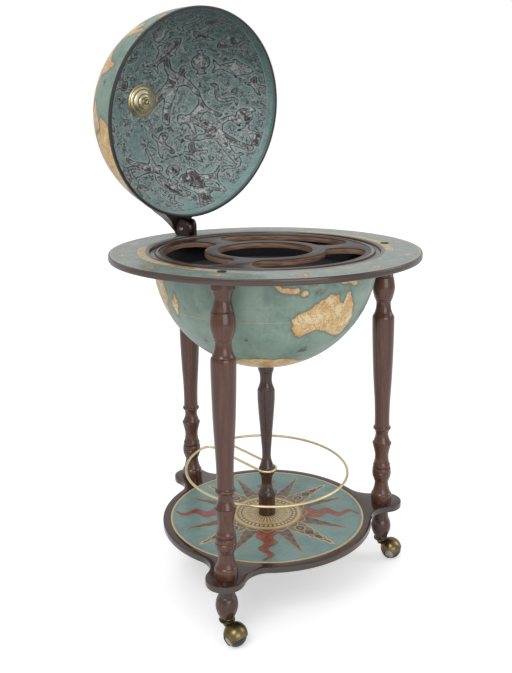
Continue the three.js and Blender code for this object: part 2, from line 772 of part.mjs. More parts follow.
// Shelf: round board with three lobes and a sunk round panel
const lobe_centre = leg_circle_radius + shelf_lobe_offset;
const waist_centre = shelf_radius + shelf_waist_radius;
const waist_lobe = shelf_lobe_radius + shelf_waist_radius;
const waist_cosine = (waist_centre ** 2 + lobe_centre ** 2 - waist_lobe ** 2)
  / (2 * waist_centre * lobe_centre);
const waist_angle = Math.acos(waist_cosine);
const waist_point = [waist_centre * Math.cos(waist_angle), waist_centre * Math.sin(waist_angle)];
const lobe_turn = Math.atan2(waist_point[1], waist_point[0] - lobe_centre);
const lobe_piece = [
  ...arc([waist_point[0], -waist_point[1]], shelf_waist_radius,
    Math.PI - waist_angle, Math.PI - lobe_turn, 5),
  ...arc([lobe_centre, 0], shelf_lobe_radius, -lobe_turn, lobe_turn, 12).slice(1),
  ...arc(waist_point, shelf_waist_radius, lobe_turn - Math.PI, waist_angle - Math.PI, 5).slice(1),
];
const between = (2 * Math.PI) / 3;
const side_arc = arc([0, 0], shelf_radius, waist_angle, between - waist_angle, 9).slice(1, -1);
const shelf_outline = leg_angles.slice().sort((a, b) => a - b)
  .flatMap((degrees) => spun([...lobe_piece, ...side_arc], degrees));
const recess_low = shelf_top_height - inlay_thickness;
const shelf_body = plate(shelf_outline, [], shelf_bottom_height, shelf_top_height);
const recess = rod(inlay_line_radius + glue_clearance, recess_low,
  shelf_top_height + inlay_thickness, round_steps);
const screw_way = rod(post_screw_radius + glue_clearance, shelf_bottom_height - inlay_thickness,
  shelf_top_height + inlay_thickness, small_steps);
const rod_ways = leg_angles.map((degrees) => {
  const [x, y] = polar(leg_circle_radius, degrees);
  const geometry = rod(stud_rod_radius + glue_clearance, shelf_bottom_height - shelf_thickness,
    shelf_top_height + shelf_thickness, small_steps);
  return placed(geometry, x, y, 0);
});
add(bar, 'shelf_board', cut(shelf_body, recess, screw_way, ...rod_ways), walnut());
add(bar, 'shelf_panel', hoop(post_screw_radius + glue_clearance, inlay_radius, recess_low,
  shelf_top_height, round_steps), sea_print());
add(bar, 'shelf_gold_line', hoop(inlay_radius + glue_clearance, inlay_line_radius, recess_low,
  shelf_top_height, round_steps), gold_line());

// Centre post between shelf and bowl, with a screw at each end
const post_plain = outlined(post_shares, post_radius, shelf_top_height, post_length,
  turned_steps);
const rail_height = shelf_top_height + rail_rise;
const post_bite = stud_rod_bite;
const post_low_hole = rod(post_screw_radius + glue_clearance, shelf_top_height - post_bite,
  shelf_top_height + post_bite + bore_end_gap, small_steps);
const post_top = shelf_top_height + post_length;
const post_high_hole = rod(post_screw_radius + glue_clearance,
  post_top - post_bite - bore_end_gap, post_top + post_bite, small_steps);
const post_bowl = placed(ball(globe_radius + glue_clearance, round_steps, sphere_rows * 4),
  0, 0, bowl_centre_height);
add(bar, 'centre_post', cut(post_plain, post_low_hole, post_high_hole, post_bowl), walnut());
const head_low = shelf_bottom_height - post_screw_head_height;
add(bar, 'post_screw_low', turned([
  [0, head_low], [post_screw_head_radius * 0.8, head_low],
  [post_screw_head_radius, shelf_bottom_height], [post_screw_radius, shelf_bottom_height],
  [post_screw_radius, shelf_top_height + post_bite], [0, shelf_top_height + post_bite],
], small_steps), steel());
const bowl_floor = bowl_centre_height - shell_inner_radius;
const post_head_lift = post_screw_head_radius * 0.14;
add(bar, 'post_screw_high', turned([
  [0, post_top - post_bite], [post_screw_radius, post_top - post_bite],
  [post_screw_radius, bowl_floor + post_head_lift],
  [post_screw_head_radius, bowl_floor + post_head_lift],
  [post_screw_head_radius * 0.8, bowl_floor + post_screw_head_height],
  [0, bowl_floor + post_screw_head_height],
], small_steps), steel());

// Wire rail: round the shelf, in through a slot and about the post
const bend = rail_bend_radius;
const bend_x = rail_slot_half + bend;
const bend_far = rail_radius - bend;
const bend_y = Math.sqrt(bend_far ** 2 - bend_x ** 2);
const bend_turn = Math.atan2(bend_y, bend_x);
const rail_half = [
  ...arc([0, 0], rail_slot_half, -quarter + glue_clearance / rail_slot_half / 2, 0, loop_steps),
  [rail_slot_half, bend_y * 0.33],
  [rail_slot_half, bend_y * 0.66],
  ...arc([bend_x, bend_y], bend, Math.PI, bend_turn, 7),
  ...arc([0, 0], rail_radius, bend_turn, -quarter, 22).slice(1),
];
const rail_flat = [
  ...rail_half,
  ...rail_half.slice(0, -1).reverse().map(([x, y]) => [-x, y]),
];
const rail_points = rail_flat.map(([x, y]) => new THREE.Vector3(x, y, 0));
// A path that keeps its own points, so the small loop stays as round as the large one
class WirePath extends THREE.Curve {
  getPoint(t) {
    const last = rail_points.length - 1;
    const start = Math.min(Math.floor(t * last), last - 1);
    return rail_points[start].clone().lerp(rail_points[start + 1], t * last - start);
  }

  getUtoTmapping(u) {
    return u;
  }
}
const rail_path = new WirePath();
const wire_shape = new THREE.Shape(circle(wire_radius, 6).map(([x, y]) => new THREE.Vector2(x, y)));
const rail_geometry = new THREE.ExtrudeGeometry(wire_shape, {
  steps: rail_points.length - 1, extrudePath: rail_path, bevelEnabled: false, curveSegments: 1,
});
rail_geometry.rotateX(Math.atan(rail_lean));
rail_geometry.translate(0, 0, rail_height);
add(bar, 'wire_rail', tidy(rail_geometry), brass());

// Feet and the rods that tie foot, shelf and leg together
const foot_length = shelf_bottom_height - foot_end_height;
leg_names.forEach((name, index) => {
  const [x, y] = polar(leg_circle_radius, leg_angles[index]);
  const foot = outlined(foot_shares, foot_radius, foot_end_height, foot_length, turned_steps);
  const socket_hole = rod(socket_radius, foot_end_height - stem_rise,
    foot_end_height + stem_rise + bore_end_gap, small_steps);
  socket_hole.rotateZ(THREE.MathUtils.degToRad(caster_angles[index]));
  const rod_low = foot_end_height + stem_rise + foot_rod_gap;
  const rod_hole = rod(stud_rod_radius + glue_clearance, rod_low - bore_end_gap,
    shelf_bottom_height + stud_rod_bite, small_steps);
  add(bar, `foot_${name}`, placed(cut(foot, socket_hole, rod_hole), x, y, 0), walnut());
  const rod_high = shelf_top_height + stud_rod_bite;
  add(bar, `foot_rod_${name}`, placed(rod(stud_rod_radius, rod_low, rod_high, small_steps),
    x, y, 0), steel());
});

// Casters: socket in the foot, swivelling hood with its stem, axle, wheel and hub cap
const sphere_steps = 18;
const sphere_bands = 10;
const facet_share = Math.cos(Math.PI / sphere_steps) * Math.cos(quarter / sphere_bands);
const wheel_centre = wheel_radius;
const hood_inner = (wheel_radius + hood_clearance) / facet_share;
const hood_outer = hood_inner + hood_thickness;
const axle_tilt = THREE.MathUtils.degToRad(axle_tilt_degrees);
const cut_tilt = THREE.MathUtils.degToRad(hood_cut_degrees);
const half_box = hood_outer * 2;
const socket_low = foot_end_height - socket_flange_thickness;
const socket_top = foot_end_height + stem_rise;
const dish_top = socket_low - dish_gap + dish_thickness / 2;
const dish_rim = foot_end_height - socket_flange_thickness - dish_gap;
// In the caster's own frame +X is the trailing side and -Y is the hub side
function alongAxle(geometry) {
  const copy = geometry.clone();
  copy.rotateX(quarter + axle_tilt);
  copy.translate(caster_trail, 0, wheel_centre);
  return copy;
}
const hood_ball = placed(ball(hood_outer, sphere_steps, sphere_bands),
  caster_trail, 0, wheel_centre);
const hood_space = placed(ball(hood_inner, sphere_steps, sphere_bands),
  caster_trail, 0, wheel_centre);
const dish = turned([
  [0, dish_rim - dish_depth - dish_thickness],
  [neck_radius * 0.8, dish_rim - dish_depth - dish_thickness],
  [neck_radius, dish_rim - dish_depth * 0.7],
  [dish_radius, dish_rim - dish_thickness],
  [dish_radius, dish_rim],
  [dish_radius - dish_thickness * 0.6, dish_rim],
  [neck_radius, dish_rim - dish_depth * 0.45],
  [0, dish_rim - dish_depth * 0.45],
], small_steps);
const boss = alongAxle(rod(hood_boss_radius, -hood_inner - hood_thickness * 0.5,
  -wheel_inner_face - turned_clearance, small_steps));
const under_foot = rod(hood_outer * 3, dish_rim + running_clearance, foot_end_height * 2,
  small_steps);
const edge_cut = new THREE.BoxGeometry(half_box, half_box * 2, half_box * 2);
edge_cut.translate(half_box / 2 + hood_cut_distance, 0, 0);
edge_cut.rotateY(cut_tilt);
edge_cut.translate(caster_trail, 0, wheel_centre);
const floor_cut = new THREE.BoxGeometry(half_box * 4, half_box * 4, half_box);
floor_cut.translate(0, 0, hood_floor_gap - half_box / 2);
const hub_way = alongAxle(rod(hub_hole_radius, wheel_inner_face, half_box, small_steps));
const stem_bore = stem_radius;
const stem_low = dish_rim - dish_depth;
const stem_way = rod(stem_bore, stem_low, foot_end_height + stem_rise, small_steps);
const axle_way = alongAxle(rod(axle_radius, -half_box, 0, small_steps));
const shell_part = cut(join(hood_ball, dish), hood_space);
const hood_body = cut(join(shell_part, boss), edge_cut, floor_cut, hub_way, stem_way, axle_way,
  placed(under_foot, caster_trail, 0, 0));
const wheel_bore = axle_radius + running_clearance;
const wheel_low = -Math.asin(wheel_inner_face / wheel_radius);
const wheel_high = Math.asin(wheel_outer_face / wheel_radius);
const tread = shellArc(wheel_radius, 0, wheel_low, wheel_high, 6);
const wheel_body = alongAxle(turned([
  [wheel_bore, -wheel_inner_face], ...tread, [wheel_bore, wheel_outer_face],
  [wheel_bore, -wheel_inner_face],
], sphere_steps + 4));
const axle_body = alongAxle(rod(axle_radius, -hood_outer + running_clearance, wheel_outer_face,
  small_steps));
const hub_body = alongAxle(turned([
  [0, wheel_outer_face],
  [hub_radius, wheel_outer_face],
  [hub_radius * 0.94, wheel_outer_face + hub_height * 0.5],
  [hub_radius * 0.6, wheel_outer_face + hub_height * 0.9],
  [0, wheel_outer_face + hub_height],
], small_steps));
const stem_top = socket_top - running_clearance;
const stem_body = rod(stem_radius - pivot_clearance / 2, stem_low, stem_top, small_steps);
const socket_bore = stem_radius + pivot_clearance / 2;
const socket_body = turned([
  [socket_bore, socket_low],
  [socket_flange_radius, socket_low],
  [socket_flange_radius, foot_end_height],
  [socket_radius, foot_end_height],
  [socket_radius, socket_top],
  [socket_bore, socket_top],
  [socket_bore, socket_low],
], small_steps);
leg_names.forEach((name, index) => {
  const [x, y] = polar(leg_circle_radius, leg_angles[index]);
  const heading = THREE.MathUtils.degToRad(caster_angles[index]);
  function set(geometry) {
    const copy = geometry.clone();
    copy.rotateZ(heading);
    copy.translate(x, y, 0);
    return tidy(copy);
  }
  add(bar, `caster_socket_${name}`, set(socket_body), steel());
  add(bar, `caster_stem_${name}`, set(stem_body), steel());
  add(bar, `caster_hood_${name}`, set(hood_body), brass());
  add(bar, `caster_axle_${name}`, set(axle_body), steel());
  add(bar, `caster_wheel_${name}`, set(wheel_body), tyre_grey());
  add(bar, `caster_hub_${name}`, set(hub_body), steel());
});

export default bar;
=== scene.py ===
import bpy
import bmesh
import math
import numpy as np
from mathutils import Matrix, Vector


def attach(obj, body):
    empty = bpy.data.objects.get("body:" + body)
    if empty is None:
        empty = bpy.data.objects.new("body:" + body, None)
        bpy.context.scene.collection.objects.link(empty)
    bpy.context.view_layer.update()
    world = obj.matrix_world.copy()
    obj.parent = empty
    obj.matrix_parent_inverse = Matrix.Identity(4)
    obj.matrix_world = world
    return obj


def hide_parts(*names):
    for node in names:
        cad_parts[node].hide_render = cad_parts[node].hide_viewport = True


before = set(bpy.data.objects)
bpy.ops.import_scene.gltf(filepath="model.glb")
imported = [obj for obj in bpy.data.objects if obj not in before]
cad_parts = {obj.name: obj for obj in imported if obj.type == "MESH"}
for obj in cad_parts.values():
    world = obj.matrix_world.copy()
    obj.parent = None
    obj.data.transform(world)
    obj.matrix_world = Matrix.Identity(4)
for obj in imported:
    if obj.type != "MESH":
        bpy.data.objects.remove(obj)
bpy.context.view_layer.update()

# Camera: a hand's breadth above the tray, in front of the left side, with a
# lens shifted down so that the legs stay nearly upright.
eye_place = Vector((-1.0247, -1.1575, 0.8628))
eye_turn = math.radians(42.26)
eye_tilt = math.radians(-8.09)
eye_roll = math.radians(-0.51)
camera = bpy.data.objects.new("camera", bpy.data.cameras.new("camera"))
bpy.context.collection.objects.link(camera)
camera.data.sensor_width = 36
camera.data.lens = 45.67
camera.data.shift_y = -0.16
camera.data.clip_start = 0.05
camera.matrix_world = (
    Matrix.Translation(eye_place)
    @ Matrix.Rotation(-eye_turn, 4, "Z")
    @ Matrix.Rotation(math.pi / 2 + eye_tilt, 4, "X")
    @ Matrix.Rotation(eye_roll, 4, "Z")
)
bpy.context.scene.camera = camera
bpy.context.scene.view_settings.view_transform = "Standard"


# Floor and studio: a white floor under four soft boxes. The background is
# white to the camera and to glass, and lights the object at a plain level.
class Value:
    """A socket of a material; sums and products on it add their own nodes."""

    def __init__(self, finish, socket):
        self.finish = finish
        self.socket = socket

    def _math(self, operation, *others):
        return self.finish.node("ShaderNodeMath", {"operation": operation}, self, *others)

    def __add__(self, other):
        return self._math("ADD", other)

    __radd__ = __add__

    def __sub__(self, other):
        return self._math("SUBTRACT", other)

    def __rsub__(self, other):
        return self.finish.node("ShaderNodeMath", {"operation": "SUBTRACT"}, other, self)

    def __mul__(self, other):
        return self._math("MULTIPLY", other)

    __rmul__ = __mul__

    def __truediv__(self, other):
        return self._math("DIVIDE", other)

    def __abs__(self):
        return self._math("ABSOLUTE")

    def __mod__(self, other):
        return self._math("FLOORED_MODULO", other)

    def sine(self):
        return self._math("SINE")

    def cosine(self):
        return self._math("COSINE")

    def root(self):
        return self._math("SQRT")

    def floor(self):
        return self._math("FLOOR")

    def around(self, across):
        """The angle of a point this far up and that far across, in radians."""
        return self._math("ARCTAN2", across)

    def least(self, other):
        return self._math("MINIMUM", other)

    def most(self, other):
        return self._math("MAXIMUM", other)

    def rise(self, low, high):
        """0 below low, 1 above high, smooth between; low above high falls."""
        return self.finish.node(
            "ShaderNodeMapRange", {"interpolation_type": "SMOOTHSTEP"}, self, low, high, 0.0, 1.0
        )

    def within(self, low, high, soft):
        """1 between low and high, with soft edges."""
        return self.rise(low - soft, low + soft) * self.rise(high + soft, high - soft)


class Finish:
    """One material of the object: its node tree and its principled shader."""

    def __init__(self, name, **fixed):
        self.material = bpy.data.materials.new(name)
        self.material.use_nodes = True
        self.tree = self.material.node_tree
        self.shader = self.tree.nodes["Principled BSDF"]
        for socket, value in fixed.items():
            self.shader.inputs[socket.replace("_", " ")].default_value = value

    def node(self, kind, settings, *values, out=0, **named):
        made = self.tree.nodes.new(kind)
        for key, value in settings.items():
            setattr(made, key, value)
        pairs = list(zip(made.inputs, values))
        pairs += [(made.inputs[key.replace("_", " ")], value) for key, value in named.items()]
        for socket, value in pairs:
            if isinstance(value, Value):
                self.tree.links.new(value.socket, socket)
            elif value is not None:
                socket.default_value = value
        return Value(self, made.outputs[out])

    def place(self):
        """The point on the piece, in metres."""
        return self.node("ShaderNodeTexCoord", {}, out="Object")

    def split(self, vector):
        parts = self.node("ShaderNodeSeparateXYZ", {}, vector).socket.node
        return [Value(self, part) for part in parts.outputs]

    def join(self, x, y, z):
        return self.node("ShaderNodeCombineXYZ", {}, x, y, z)

    def attribute(self, name, out="Fac"):
        return self.node("ShaderNodeAttribute", {"attribute_name": name}, out=out)

    def noise(self, vector, scale, detail=4.0, rough=0.55, warp=0.0, out="Fac"):
        return self.node(
            "ShaderNodeTexNoise", {}, Vector=vector, Scale=scale, Detail=detail,
            Roughness=rough, Distortion=warp, out=out,
        )

    def stretched(self, vector, x, y, z):
        return self.node("ShaderNodeVectorMath", {"operation": "MULTIPLY"}, vector, (x, y, z))

    def mix(self, factor, first, second):
        """A colour that goes from the first to the second with the factor."""
        made = self.tree.nodes.new("ShaderNodeMix")
        made.data_type = "RGBA"
        made.clamp_factor = True
        for socket, value in zip((made.inputs[0], made.inputs[6], made.inputs[7]),
                                 (factor, first, second)):
            if isinstance(value, Value):
                self.tree.links.new(value.socket, socket)
            else:
                socket.default_value = value
        return Value(self, made.outputs[2])

    def layered(self, colour, *layers):
        """The colour under thin layers, each an amount and a colour."""
        for amount, over in layers:
            colour = self.mix(amount, colour, over)
        return colour

    def polar(self, centre_y):
        """Radius in millimetres and angle in radians about the globe's axis."""
        x, y, _ = self.split(self.place())
        y = y - centre_y
        return (x * x + y * y).root() * 1000.0, y.around(x)

    def bump(self, height, strength, distance=0.001):
        made = self.node("ShaderNodeBump", {}, Strength=strength, Distance=distance, Height=height)
        self.tree.links.new(made.socket, self.shader.inputs["Normal"])

    def wear(self, **sockets):
        for name, value in sockets.items():
            self.tree.links.new(value.socket, self.shader.inputs[name.replace("_", " ")])


def tint(red, green, blue):
    """A colour as a picture editor gives it, from 0 to 255."""
    def line(value):
        value /= 255
        return value / 12.92 if value <= 0.04045 else ((value + 0.055) / 1.055) ** 2.4
    return (line(red), line(green), line(blue), 1.0)


floor_half = 9
floor_corners = [(-1, -1), (1, -1), (1, 1), (-1, 1)]
sweep_mesh = bpy.data.meshes.new("studio_floor")
sweep_mesh.from_pydata(
    [(x * floor_half, y * floor_half, 0) for x, y in floor_corners], [], [(0, 1, 2, 3)]
)
sweep = bpy.data.objects.new("studio_floor", sweep_mesh)
bpy.context.collection.objects.link(sweep)
sweep_paint = Finish("studio_white", Base_Color=(0.93, 0.93, 0.94, 1), Roughness=0.9,
                     Emission_Strength=0.62)
# the camera alone sees the glow, which grows away from the object's shadow
camera_ray = sweep_paint.node("ShaderNodeLightPath", {}, out="Is Camera Ray")
sweep_reach, _ = sweep_paint.polar(0.0)
sweep_level = sweep_reach.rise(600, 2600) * 0.32 + 0.68
sweep_paint.wear(
    Emission_Color=sweep_paint.mix(camera_ray * sweep_level, (0, 0, 0, 1), (1, 1, 1, 1))
)
sweep_mesh.materials.append(sweep_paint.material)

plain_level, gloss_extra = 0.53, 0.02
world = bpy.data.worlds.new("studio")
bpy.context.scene.world = world
world.use_nodes = True
backdrop = world.node_tree
backdrop_glow = backdrop.nodes["Background"]
backdrop_glow.inputs["Color"].default_value = (1, 1, 1, 1)
ray = backdrop.nodes.new("ShaderNodeLightPath").outputs
seen, lighting, level = (backdrop.nodes.new("ShaderNodeMath") for _ in range(3))
seen.operation = level.operation = "MAXIMUM"
lighting.operation = "MULTIPLY_ADD"
lighting.inputs[1].default_value = gloss_extra
lighting.inputs[2].default_value = plain_level
for source, target in (
    (ray["Is Camera Ray"], seen.inputs[0]), (ray["Is Transmission Ray"], seen.inputs[1]),
    (ray["Is Glossy Ray"], lighting.inputs[0]), (seen.outputs[0], level.inputs[0]),
    (lighting.outputs[0], level.inputs[1]), (level.outputs[0], backdrop_glow.inputs["Strength"]),
):
    backdrop.links.new(source, target)


def soft_box(name, place, aim, width, height, power):
    """A rectangular lamp at a place, turned toward an aim."""
    lamp = bpy.data.lights.new(name, "AREA")
    lamp.shape = "RECTANGLE"
    lamp.size = width
    lamp.size_y = height
    lamp.energy = power
    holder = bpy.data.objects.new(name, lamp)
    bpy.context.collection.objects.link(holder)
    holder.location = place
    direction = Vector(aim) - Vector(place)
    holder.rotation_mode = "QUATERNION"
    holder.rotation_quaternion = direction.to_track_quat("-Z", "Y")


soft_box("key_box", (-1.9, -1.0, 2.3), (0, 0, 0.55), 1.3, 1.3, 25)
soft_box("side_box", (1.9, -1.4, 1.6), (0, 0, 0.5), 0.9, 1.6, 9)
soft_box("top_box", (0.2, 0.9, 2.7), (0, 0, 0.6), 1.6, 1.2, 11)
soft_box("low_box", (-0.9, -2.6, 0.9), (0, 0.1, 0.8), 1.8, 1.2, 14)

# Legs: each is turned in one piece of walnut from shelf to ring, stained red
# brown and lacquered; a bolt through the ring and a rod through the shelf
# hold it.
mm = 0.001
axis_y = -53.332 * mm
ring_top = 613.2
ring_low = 602.2
shelf_top = 112.7
shelf_low = 102.2
leg_circle = 225.6
leg_names = ["front_left", "front_right", "back"]
leg_angles = [210, 330, 90]
third = 120
on_axis = Matrix.Translation((0, axis_y, 0))


def flowing(points, parts=6):
    """A smooth line through the points, with the first and last kept."""
    ends = [points[0], *points, points[-1]]
    line = []
    for i in range(1, len(ends) - 2):
        before, start, stop, after = (np.array(ends[i + k], float) for k in (-1, 0, 1, 2))
        for step in range(parts):
            t = step / parts
            line.append(tuple(0.5 * (
                2 * start + (stop - before) * t
                + (2 * before - 5 * start + 4 * stop - after) * t ** 2
                + (3 * start - before - 3 * stop + after) * t ** 3
            )))
    line.append(tuple(points[-1]))
    return line


def crisp(runs, parts=3):
    """One profile made of smooth runs that meet in crisp edges."""
    line = []
    for run in runs:
        line += flowing(run, parts)
    return line


def as_is(name, mesh, finish, sharp):
    """Puts a mesh that already faces outward in the scene with its finish on."""
    mesh.shade_smooth()
    mesh.set_sharp_from_angle(angle=math.radians(sharp))
    mesh.materials.append(finish.material)
    piece = bpy.data.objects.new(name, mesh)
    bpy.context.collection.objects.link(piece)
    return piece


def finished(name, mesh, finish, sharp):
    """The same for a mesh whose seams are still open; its faces turn outward."""
    work = bmesh.new()
    work.from_mesh(mesh)
    bmesh.ops.remove_doubles(work, verts=work.verts, dist=2e-6)
    bmesh.ops.recalc_face_normals(work, faces=work.faces)
    work.to_mesh(mesh)
    work.free()
    return as_is(name, mesh, finish, sharp)


def turned_mesh(name, profile, steps):
    """A shape turned about the upright axis from (radius, height), in mm."""
    verts, rows = [], []
    for radius, height in profile:
        if radius < 1e-4:
            rows.append([len(verts)] * steps)
            verts.append((0, 0, height * mm))
            continue
        rows.append(list(range(len(verts), len(verts) + steps)))
        for k in range(steps):
            angle = 2 * math.pi * k / steps
            verts.append((radius * math.cos(angle) * mm, radius * math.sin(angle) * mm,
                          height * mm))
    faces = []
    for low, high in zip(rows, rows[1:]):
        for k in range(steps):
            ring = [low[k], low[(k + 1) % steps], high[(k + 1) % steps], high[k]]
            face = [v for i, v in enumerate(ring) if v not in ring[:i]]
            if len(face) > 2:
                faces.append(face)
    mesh = bpy.data.meshes.new(name)
    mesh.from_pydata(verts, [], faces)
    return mesh


def turned(name, profile, steps, finish, sharp, way=on_axis):
    """A finished turned piece that the way carries to its place."""
    mesh = turned_mesh(name, profile, steps)
    mesh.transform(way)
    return finished(name, mesh, finish, sharp)


def evaluated(holder):
    """A plain mesh of what an object's modifiers or curve settings make."""
    graph = bpy.context.evaluated_depsgraph_get()
    return bpy.data.meshes.new_from_object(holder.evaluated_get(graph))


def grown(name, finish, inputs, build):
    """A plain piece from a Geometry Nodes group with the named inputs."""
    tree = bpy.data.node_groups.new("make_" + name, "GeometryNodeTree")
    tree.interface.new_socket(name="Geometry", in_out="OUTPUT", socket_type="NodeSocketGeometry")
    values = {}
    for label, (kind, value) in inputs.items():
        kind = "NodeSocket" + kind
        socket = tree.interface.new_socket(name=label, in_out="INPUT", socket_type=kind)
        values[socket.identifier] = value

    def node(kind, operation=None):
        made = tree.nodes.new(kind)
        if operation:
            made.operation = operation
        return made

    real, paint = node("GeometryNodeRealizeInstances"), node("GeometryNodeSetMaterial")
    paint.inputs["Material"].default_value = finish.material
    shape = build(node, tree.links.new, node("NodeGroupInput").outputs)
    tree.links.new(shape, real.inputs[0])
    tree.links.new(real.outputs[0], paint.inputs["Geometry"])
    tree.links.new(paint.outputs[0], node("NodeGroupOutput").inputs[0])
    holder = bpy.data.objects.new(name, bpy.data.meshes.new(name))
    bpy.context.collection.objects.link(holder)
    modifier = holder.modifiers.new(name, "NODES")
    modifier.node_group = tree
    for identifier, value in values.items():
        modifier[identifier] = value
    mesh = evaluated(holder)
    mesh.name = name
    holder.modifiers.clear()
    bpy.data.objects.remove(holder)
    piece = bpy.data.objects.new(name, mesh)
    bpy.context.collection.objects.link(piece)
    return piece


def stood_round(name, profile, steps, finish, sharp, angles):
    """Copies of a turned piece stood on the legs' circle."""
    source = turned(name + "_source", profile, steps, finish, sharp, Matrix())

    def build(node, link, given):
        points, spread = node("GeometryNodePoints"), node("GeometryNodeInstanceOnPoints")
        turn = node("ShaderNodeMath", "MULTIPLY_ADD")
        place, scale = node("ShaderNodeCombineXYZ"), node("ShaderNodeVectorMath", "SCALE")
        info = node("GeometryNodeObjectInfo")
        link(given["Count"], points.inputs["Count"])
        link(node("GeometryNodeInputIndex").outputs[0], turn.inputs[0])
        link(given["Step angle"], turn.inputs[1])
        link(given["Start angle"], turn.inputs[2])
        for axis, operation in enumerate(("COSINE", "SINE")):
            part = node("ShaderNodeMath", operation)
            link(turn.outputs[0], part.inputs[0])
            link(part.outputs[0], place.inputs[axis])
        link(place.outputs[0], scale.inputs[0])
        link(given["Circle"], scale.inputs["Scale"])
        link(scale.outputs[0], points.inputs["Position"])
        link(given["Piece"], info.inputs["Object"])
        link(points.outputs[0], spread.inputs["Points"])
        link(info.outputs["Geometry"], spread.inputs["Instance"])
        return spread.outputs[0]

    piece = grown(name, finish, {
        "Count": ("Int", len(angles)), "Circle": ("Float", leg_circle * mm),
        "Start angle": ("Float", math.radians(angles[0])),
        "Step angle": ("Float", math.radians(third)), "Piece": ("Object", source),
    }, build)
    piece.data.transform(on_axis)
    bpy.data.objects.remove(source)
    return piece


def walnut(name, dark, light, along, gloss):
    """Lacquered walnut with its grain along one axis of the piece."""
    wood = Finish(name, Roughness=gloss, Coat_Weight=0.5, Coat_Roughness=0.1)
    scales = {"X": (0.09, 1, 1), "Z": (1, 1, 0.07)}
    run = wood.stretched(wood.place(), *scales[along])
    grain = wood.noise(run, 190, 4.0, 0.55, 0.4)
    cloud = wood.noise(run, 26, 3.0, 0.5, 0.8)
    pores = wood.noise(wood.stretched(run, 3, 3, 1), 360, 2.0, 0.5).rise(0.62, 0.76)
    blend = grain.rise(0.25, 0.75) * 0.5 + cloud.rise(0.25, 0.75) * 0.5
    colour = wood.mix(blend, tint(*dark), tint(*light))
    colour = wood.mix(pores * 0.35, colour, tint(36, 22, 17))
    wood.wear(Base_Color=colour, Roughness=gloss - 0.04 + grain * 0.08)
    wood.bump(grain * 0.5 - pores, 0.06, 0.0003)
    return wood


leg_wood = walnut("walnut_lacquer", (60, 31, 18), (104, 62, 40), "Z", 0.27)
leg_side = crisp([
    [(19.3, shelf_top), (19.5, 118), (19.4, 124.6), (18.8, 128.4)],
    [(17.7, 130.0), (16.8, 131.4), (14.6, 138), (13.2, 144.5), (12.7, 149.6), (12.9, 153.4)],
    [(14.2, 154.8), (15.2, 158.2), (16.8, 162.4), (17.5, 166.4), (17.7, 170.2)],
    [(16.8, 171.4), (16.8, 172.2)],
    [(17.6, 173.2), (17.3, 177), (16.6, 179.6)],
    [(15.0, 180.6), (15.0, 181.4)],
    [(16.3, 183.0), (15.9, 187.2)],
    [(14.6, 189.2), (13.4, 195), (12.8, 201.5), (13.2, 208), (14.6, 215), (16.2, 221.6),
     (17.2, 226.2)],
    [(17.9, 227.6), (17.9, 229.6)],
    [(16.4, 230.6), (14.4, 236), (12.7, 241.6), (12.1, 246.2), (12.6, 250.6), (13.7, 254.6)],
    [(14.4, 255.6), (16.0, 256.8), (16.6, 258.8), (16.0, 260.8), (14.6, 261.8)],
    [(14.1, 263.0), (13.9, 271), (13.9, 284), (14.2, 297), (15.0, 316), (16.5, 339.9), (17.9, 366),
     (19.0, 393.9), (19.9, 424), (20.5, 452), (20.6, 468), (20.4, 473.8), (19.7, 477.0)],
    [(18.4, 478.2), (18.0, 479.4), (16.0, 484), (14.2, 491.4), (13.5, 499.4), (13.9, 504.6)],
    [(15.1, 505.8), (15.1, 507.8)],
    [(16.5, 509.2), (17.8, 514), (19.6, 520.5), (20.7, 528), (20.6, 534.5), (19.6, 543),
     (18.4, 549.8)],
    [(17.2, 550.9), (17.2, 551.7)],
    [(17.9, 552.8), (17.0, 555.8), (15.2, 562), (14.3, 568.8), (14.9, 574), (17.0, 580),
     (18.7, 584.6)],
    [(19.8, 586.2), (20.2, 588.4), (20.2, ring_low)],
])
legs = stood_round("turned_legs", [(0, shelf_top), *leg_side, (0, ring_low)], 48, leg_wood, 30,
                   leg_angles)
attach(legs, "stand")
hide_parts(*["leg_" + n for n in leg_names])

# Feet: turned walnut under the shelf's lobes, coloured a little darker than the
# legs as painted shade from the shelf above them. The rod that ends in the leg
# pulls each foot up against the board.
foot_end = 39.3
foot_wood_painted_shade = walnut("foot_walnut", (46, 26, 17), (84, 53, 37), "Z", 0.27)
foot_side = crisp([
    [(11.6, foot_end), (12.5, 40.2)],
    [(12.0, 41.2), (13.2, 43.4), (15.8, 49), (17.9, 56), (18.6, 61.8), (17.9, 68.5), (16.1, 74.5)],
    [(15.2, 76.0), (15.0, 77.4)],
    [(14.2, 78.4), (13.6, 84.5), (13.7, 91.5), (14.4, 97.2)],
    [(15.4, 98.2), (15.4, shelf_low)],
])
feet = stood_round("turned_feet", [(0, foot_end), *foot_side, (0, shelf_low)], 48, foot_wood_painted_shade, 30,
                   leg_angles)
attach(feet, "stand")
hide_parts(*["foot_" + n for n in leg_names])

